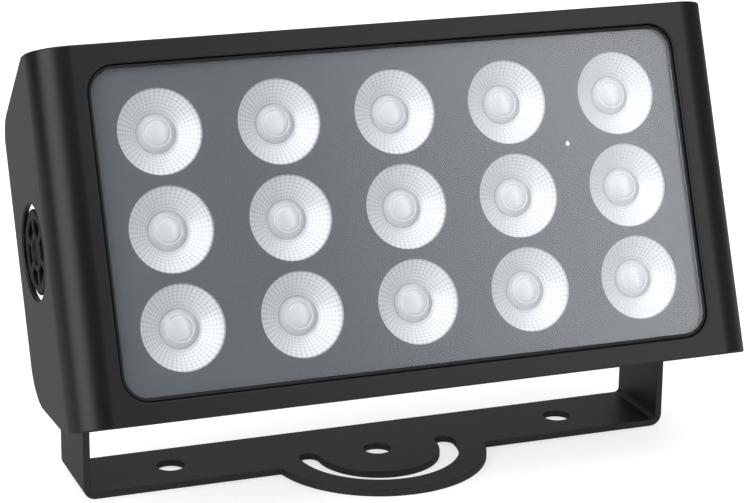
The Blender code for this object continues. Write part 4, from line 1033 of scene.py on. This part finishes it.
def makeButtons():
    seat, radius = head["coverFront"] - fit, button["radius"]
    top = head["coverBack"] + button["proud"] - seat
    profile = [(radius * share, top - drop) for share, drop in button["cap"]]
    collar, stem = button["collar"], button["stem"]
    profile += [
        (radius, 0), (collar, 0), (collar, -button["collarDepth"]), (stem, -button["collarDepth"]),
        (stem, -button["stemDepth"]), (0, -button["stemDepth"]),
    ]
    for index, node in enumerate(buttonNames):
        addHeadPiece(node.replace("_button", "Button"), turnedMesh(profile, 40), "greyPlastic",
                     [node], alongY(buttonX(index), seat, cover["controlsZ"]), node)


def makeDisplay():
    x, z, steps = display["x"], cover["controlsZ"], cover["cornerSteps"]
    front = head["coverBack"] - display["windowDepth"]
    window = roundedBlock(display["outline"], steps, front, head["coverBack"], x, z)
    softened(window, display["windowEdge"])
    addHeadPiece("displayWindow", window, "glass", ["display_window"])
    back = front - fit
    module = roundedBlock(display["outline"], steps, back - display["moduleDepth"], back, x, z)
    recess = roundedBlock(display["recess"], 4, back - display["recessDepth"], back + past, x, z)
    bm = softened(combined(module, *cutBy(recess)), display["moduleEdge"])
    addHeadPiece("displayModule", bm, "blackPlastic", ["display_module"])


def makeSocket(index, node, finish, cavity):
    x, z, seat = socketX(index), cover["socketsZ"], head["fittingSeat"]
    mouth = seat + socket["flange"]
    collar, length = socket["collar"], socket["bodyLength"]
    key = socket["keyHalf"]
    changes = [
        ("UNION", rod(socket["bodyRadius"], length,
                      alongY(x, mouth - socket["bodySink"] - length / 2, z), 64)),
        ("UNION", rod(cavity + collar, socket["flange"] + collar,
                      alongY(x, (seat + mouth + collar) / 2, z), 64)),
    ]
    changes += cutBy(
        rod(cavity, 2 * socket["cavityDepth"], alongY(x, mouth, z), 64),
        block((x - key, mouth - socket["keyDepth"], z + cavity - past),
              (x + key, mouth + 10 * past, z + cavity + socket["keyHeight"])),
    )
    ears = [(x + a * socket["earX"], z - a * socket["earZ"]) for a in (-1, 1)]
    for earX, earZ in ears:
        changes += cutBy(rod(socket["earHole"], 5 * socket["flange"], alongY(earX, mouth, earZ), 24))
    flange = roundedBlock(socket["outline"], cover["cornerSteps"], seat, mouth, x, z)
    label = node.replace("_i", "I").replace("_o", "O")
    addHeadPiece(label, softened(combined(flange, *changes), socket["edge"]), finish, [node])

    pins = []
    height = mouth - socket["cavityDepth"] + socket["pinLength"] / 2
    for step in range(3):
        angle = math.tau * step / 3 + math.pi / 2
        pinX = x + socket["pinCircle"] * math.cos(angle)
        pinZ = z + socket["pinCircle"] * math.sin(angle)
        pin = rod(socket["pinRadius"], socket["pinLength"], alongY(pinX, height, pinZ), 20)
        pins.append(softened(pin, socket["pinTip"], 3, 60))
    addHeadPiece(f"{label}Pins", joined(pins), "brass")

    screws = []
    for earX, earZ in ears:
        bm = screwMesh(socket["earScrewLength"])
        bmesh.ops.scale(bm, vec=socket["earScrew"], verts=bm.verts)
        screws.append(moveTo(bm, alongY(earX, mouth + socket["earGap"], earZ)))
    addHeadPiece(f"{label}Screws", joined(screws), "zinc")


def makeVent():
    nut = rod(vent["nutRadius"], vent["nutHeight"], alongZ(0, 0, vent["nutHeight"] / 2), 6)
    softened(nut, vent["edge"])
    stem = rod(vent["stem"], vent["stemLength"], alongZ(0, 0, vent["stemMiddle"]), 32)
    bm = combined(nut, ("UNION", turnedMesh(vent["cap"], 40)), ("UNION", stem))
    place = alongY(cover["ventX"], head["fittingSeat"], cover["controlsZ"])
    addHeadPiece("breatherVent", bm, "blackPlastic", ["breather_vent"], place)


eye = {"radius": 0.0025, "halfWidth": 0.015, "z": 0.057, "tail": 0.056, "crown": 0.0835, "bend": 0.006}


def makeSafetyEye():
    # A round rod drawn along its leg, bent, run across, bent and drawn back
    bm = bmesh.new()
    half, bend, tail = eye["halfWidth"], eye["bend"], eye["tail"]
    addCircle(bm, eye["radius"], 24, alongY(-half, tail, eye["z"]))

    def draw(edges, vector):
        made = bmesh.ops.extrude_edge_only(bm, edges=edges)["geom"]
        verts = onlyVerts(made)
        bmesh.ops.translate(bm, vec=vector, verts=verts)
        return [edge for edge in onlyEdges(made) if all(vert in verts for vert in edge.verts)]

    def bendRing(edges, x, y):
        made = bmesh.ops.spin(
            bm, geom=edges + list({vert for edge in edges for vert in edge.verts}),
            cent=(x, y, eye["z"]), axis=(0, 0, -1), angle=math.radians(90), steps=12,
        )
        return onlyEdges(made["geom_last"])

    straight = eye["crown"] - tail - bend
    ring = draw(bm.edges[:], (0, straight, 0))
    ring = bendRing(ring, bend - half, tail + straight)
    ring = draw(ring, (2 * (half - bend), 0, 0))
    ring = bendRing(ring, half - bend, tail + straight)
    ring = draw(ring, (0, -straight, 0))
    bmesh.ops.edgeloop_fill(bm, edges=ring)
    mergeDoubles(bm)
    addHeadPiece("safetyEye", faceOutwards(bm), "zinc", ["safety_eye"])


makeRearCover()
makeScrews()
makeButtons()
makeDisplay()
for socketIndex, socketRow in enumerate(sockets):
    makeSocket(socketIndex, *socketRow)
makeVent()
makeSafetyEye()
print("rear pieces made")


# CAD nodes that stay as they are, with their finishes

keptNodes = {
    "casing_gasket": "rubber", "cover_gasket": "rubber", "led_board": "whiteBoard",
    "driver_unit": "aluminium", "control_board": "greenBoard",
}
for node, finish in keptNodes.items():
    target = frame["nodes"][node]
    target.data.materials.clear()
    target.data.materials.append(materials[finish])
print("kept nodes finished")


# Floor, studio world, lamp and camera

studio = {
    "floorRadius": 3.0, "floorDrop": 0.0001, "floorColor": (0.5, 0.5, 0.5), "floorRoughness": 0.9,
    "floorLift": 0.68, "fadeStart": 0.45, "fadeEnd": 0.98, "skyLevel": 1.5, "skyStart": 0.68,
    "skyEnd": 0.9, "topPower": 3.6, "topSize": 1.1, "topPlace": (-0.25, -0.35, 1.35),
    "topAim": (0, 0, 0.1),
}
# Brightness of the studio by bearing, in degrees from straight behind towards the left
studioBearings = (
    (0, 0.8), (28, 0.3), (50, 0.06), (86, 0.06), (96, 4.8), (128, 4.8), (142, 0.15),
    (189, 0.1), (200, 1.0), (208, 4.6), (212, 4.6), (222, 0.8), (234, 0.3), (304, 0.5), (324, 1.0),
    (352, 1.0), (360, 0.8),
)
cameraPose = {
    "place": (-0.4313, -1.18677, -0.08639), "forward": (0.33838, 0.93935, 0.05596),
    "right": (0.93602, -0.32987, -0.12268), "lens": 126.25, "sensor": 36, "nearest": 0.01,
}


def makeFloor():
    bm = bmesh.new()
    addCircle(bm, studio["floorRadius"], 96, alongZ(0, 0, -studio["floorDrop"]))
    floor = meshObject("floor", bm, scene.collection)
    material, tree, shader = startMaterial("pale floor")
    setInputs(shader, {
        "Base Color": (*studio["floorColor"], 1), "Roughness": studio["floorRoughness"],
        "Specular IOR Level": 0.0,
    })
    rays = addNode(tree, "ShaderNodeLightPath").outputs
    seen = mathNode(tree, "MAXIMUM", rays["Is Camera Ray"], rays["Is Glossy Ray"])
    seen = mathNode(tree, "MAXIMUM", seen, rays["Is Transmission Ray"])
    lift = mathNode(tree, "MULTIPLY", seen, studio["floorLift"])
    glow = addNode(tree, "ShaderNodeEmission", {"Strength": lift})
    both = addNode(tree, "ShaderNodeAddShader", {0: shader.outputs[0], 1: glow.outputs[0]})
    # Fades out towards its rim, so that it ends without an edge
    far = addNode(tree, "ShaderNodeVectorMath", {0: objectPlace(tree)}, operation="LENGTH")
    start, end = [studio["floorRadius"] * share for share in (studio["fadeStart"], studio["fadeEnd"])]
    fade = smoothStep(tree, far.outputs["Value"], start, end)
    mixShaders(tree, fade, both, addNode(tree, "ShaderNodeBsdfTransparent"))
    floor.data.materials.append(material)


def makeWorld():
    world = bpy.data.worlds.new("studio")
    scene.world = world
    world.use_nodes = True
    tree = world.node_tree
    tree.nodes.clear()
    where = addNode(tree, "ShaderNodeTexCoord").outputs["Generated"]
    parts = addNode(tree, "ShaderNodeSeparateXYZ", {0: where}).outputs
    left = mathNode(tree, "MULTIPLY", parts["X"], -1.0)
    turns = mathNode(tree, "DIVIDE", mathNode(tree, "ARCTAN2", left, parts["Y"]), math.tau)
    whole = mathNode(tree, "FRACT", mathNode(tree, "ADD", turns, 1.0))
    ramp = addNode(tree, "ShaderNodeValToRGB", {"Fac": whole})
    stops = ramp.color_ramp.elements
    brightest = max(value for _, value in studioBearings)
    while len(stops) > 1:
        stops.remove(stops[-1])
    for index, (degrees, value) in enumerate(studioBearings):
        stop = stops[0] if index == 0 else stops.new(degrees / 360)
        stop.position = degrees / 360
        share = value / brightest
        stop.color = (share, share, share, 1)
    around = mathNode(tree, "MULTIPLY", ramp.outputs["Color"], brightest)
    # Overhead the bearings give way to an even sky
    high = smoothStep(tree, parts["Z"], studio["skyStart"], studio["skyEnd"])
    values = {"Factor": high, "A": around, "B": studio["skyLevel"]}
    level = addNode(tree, "ShaderNodeMix", values, data_type="FLOAT")
    light = addNode(tree, "ShaderNodeBackground", {
        "Color": (1, 1, 1, 1), "Strength": level.outputs["Result"],
    })
    addNode(tree, "ShaderNodeOutputWorld", {"Surface": light.outputs[0]})


def makeLamp():
    lamp = bpy.data.lights.new("top softbox", "AREA")
    lamp.energy = studio["topPower"]
    lamp.size = studio["topSize"]
    holder = bpy.data.objects.new("top softbox", lamp)
    scene.collection.objects.link(holder)
    holder.location = studio["topPlace"]
    aim = Vector(studio["topAim"]) - holder.location
    holder.rotation_euler = aim.to_track_quat("-Z", "Y").to_euler()


def makeCamera():
    turned = pivotTurn.to_3x3()
    forward = (turned @ Vector(cameraPose["forward"])).normalized()
    right = (turned @ Vector(cameraPose["right"])).normalized()
    data = bpy.data.cameras.new("camera")
    data.lens = cameraPose["lens"]
    data.sensor_width = cameraPose["sensor"]
    data.clip_start = cameraPose["nearest"]
    camera = bpy.data.objects.new("camera", data)
    scene.collection.objects.link(camera)
    turn = Matrix((right, right.cross(forward), -forward)).transposed().to_4x4()
    camera.matrix_world = Matrix.Translation(pivot + turned @ Vector(cameraPose["place"])) @ turn
    scene.camera = camera


makeFloor()
makeWorld()
makeLamp()
makeCamera()
scene.view_settings.view_transform = "Standard"
print("studio made")
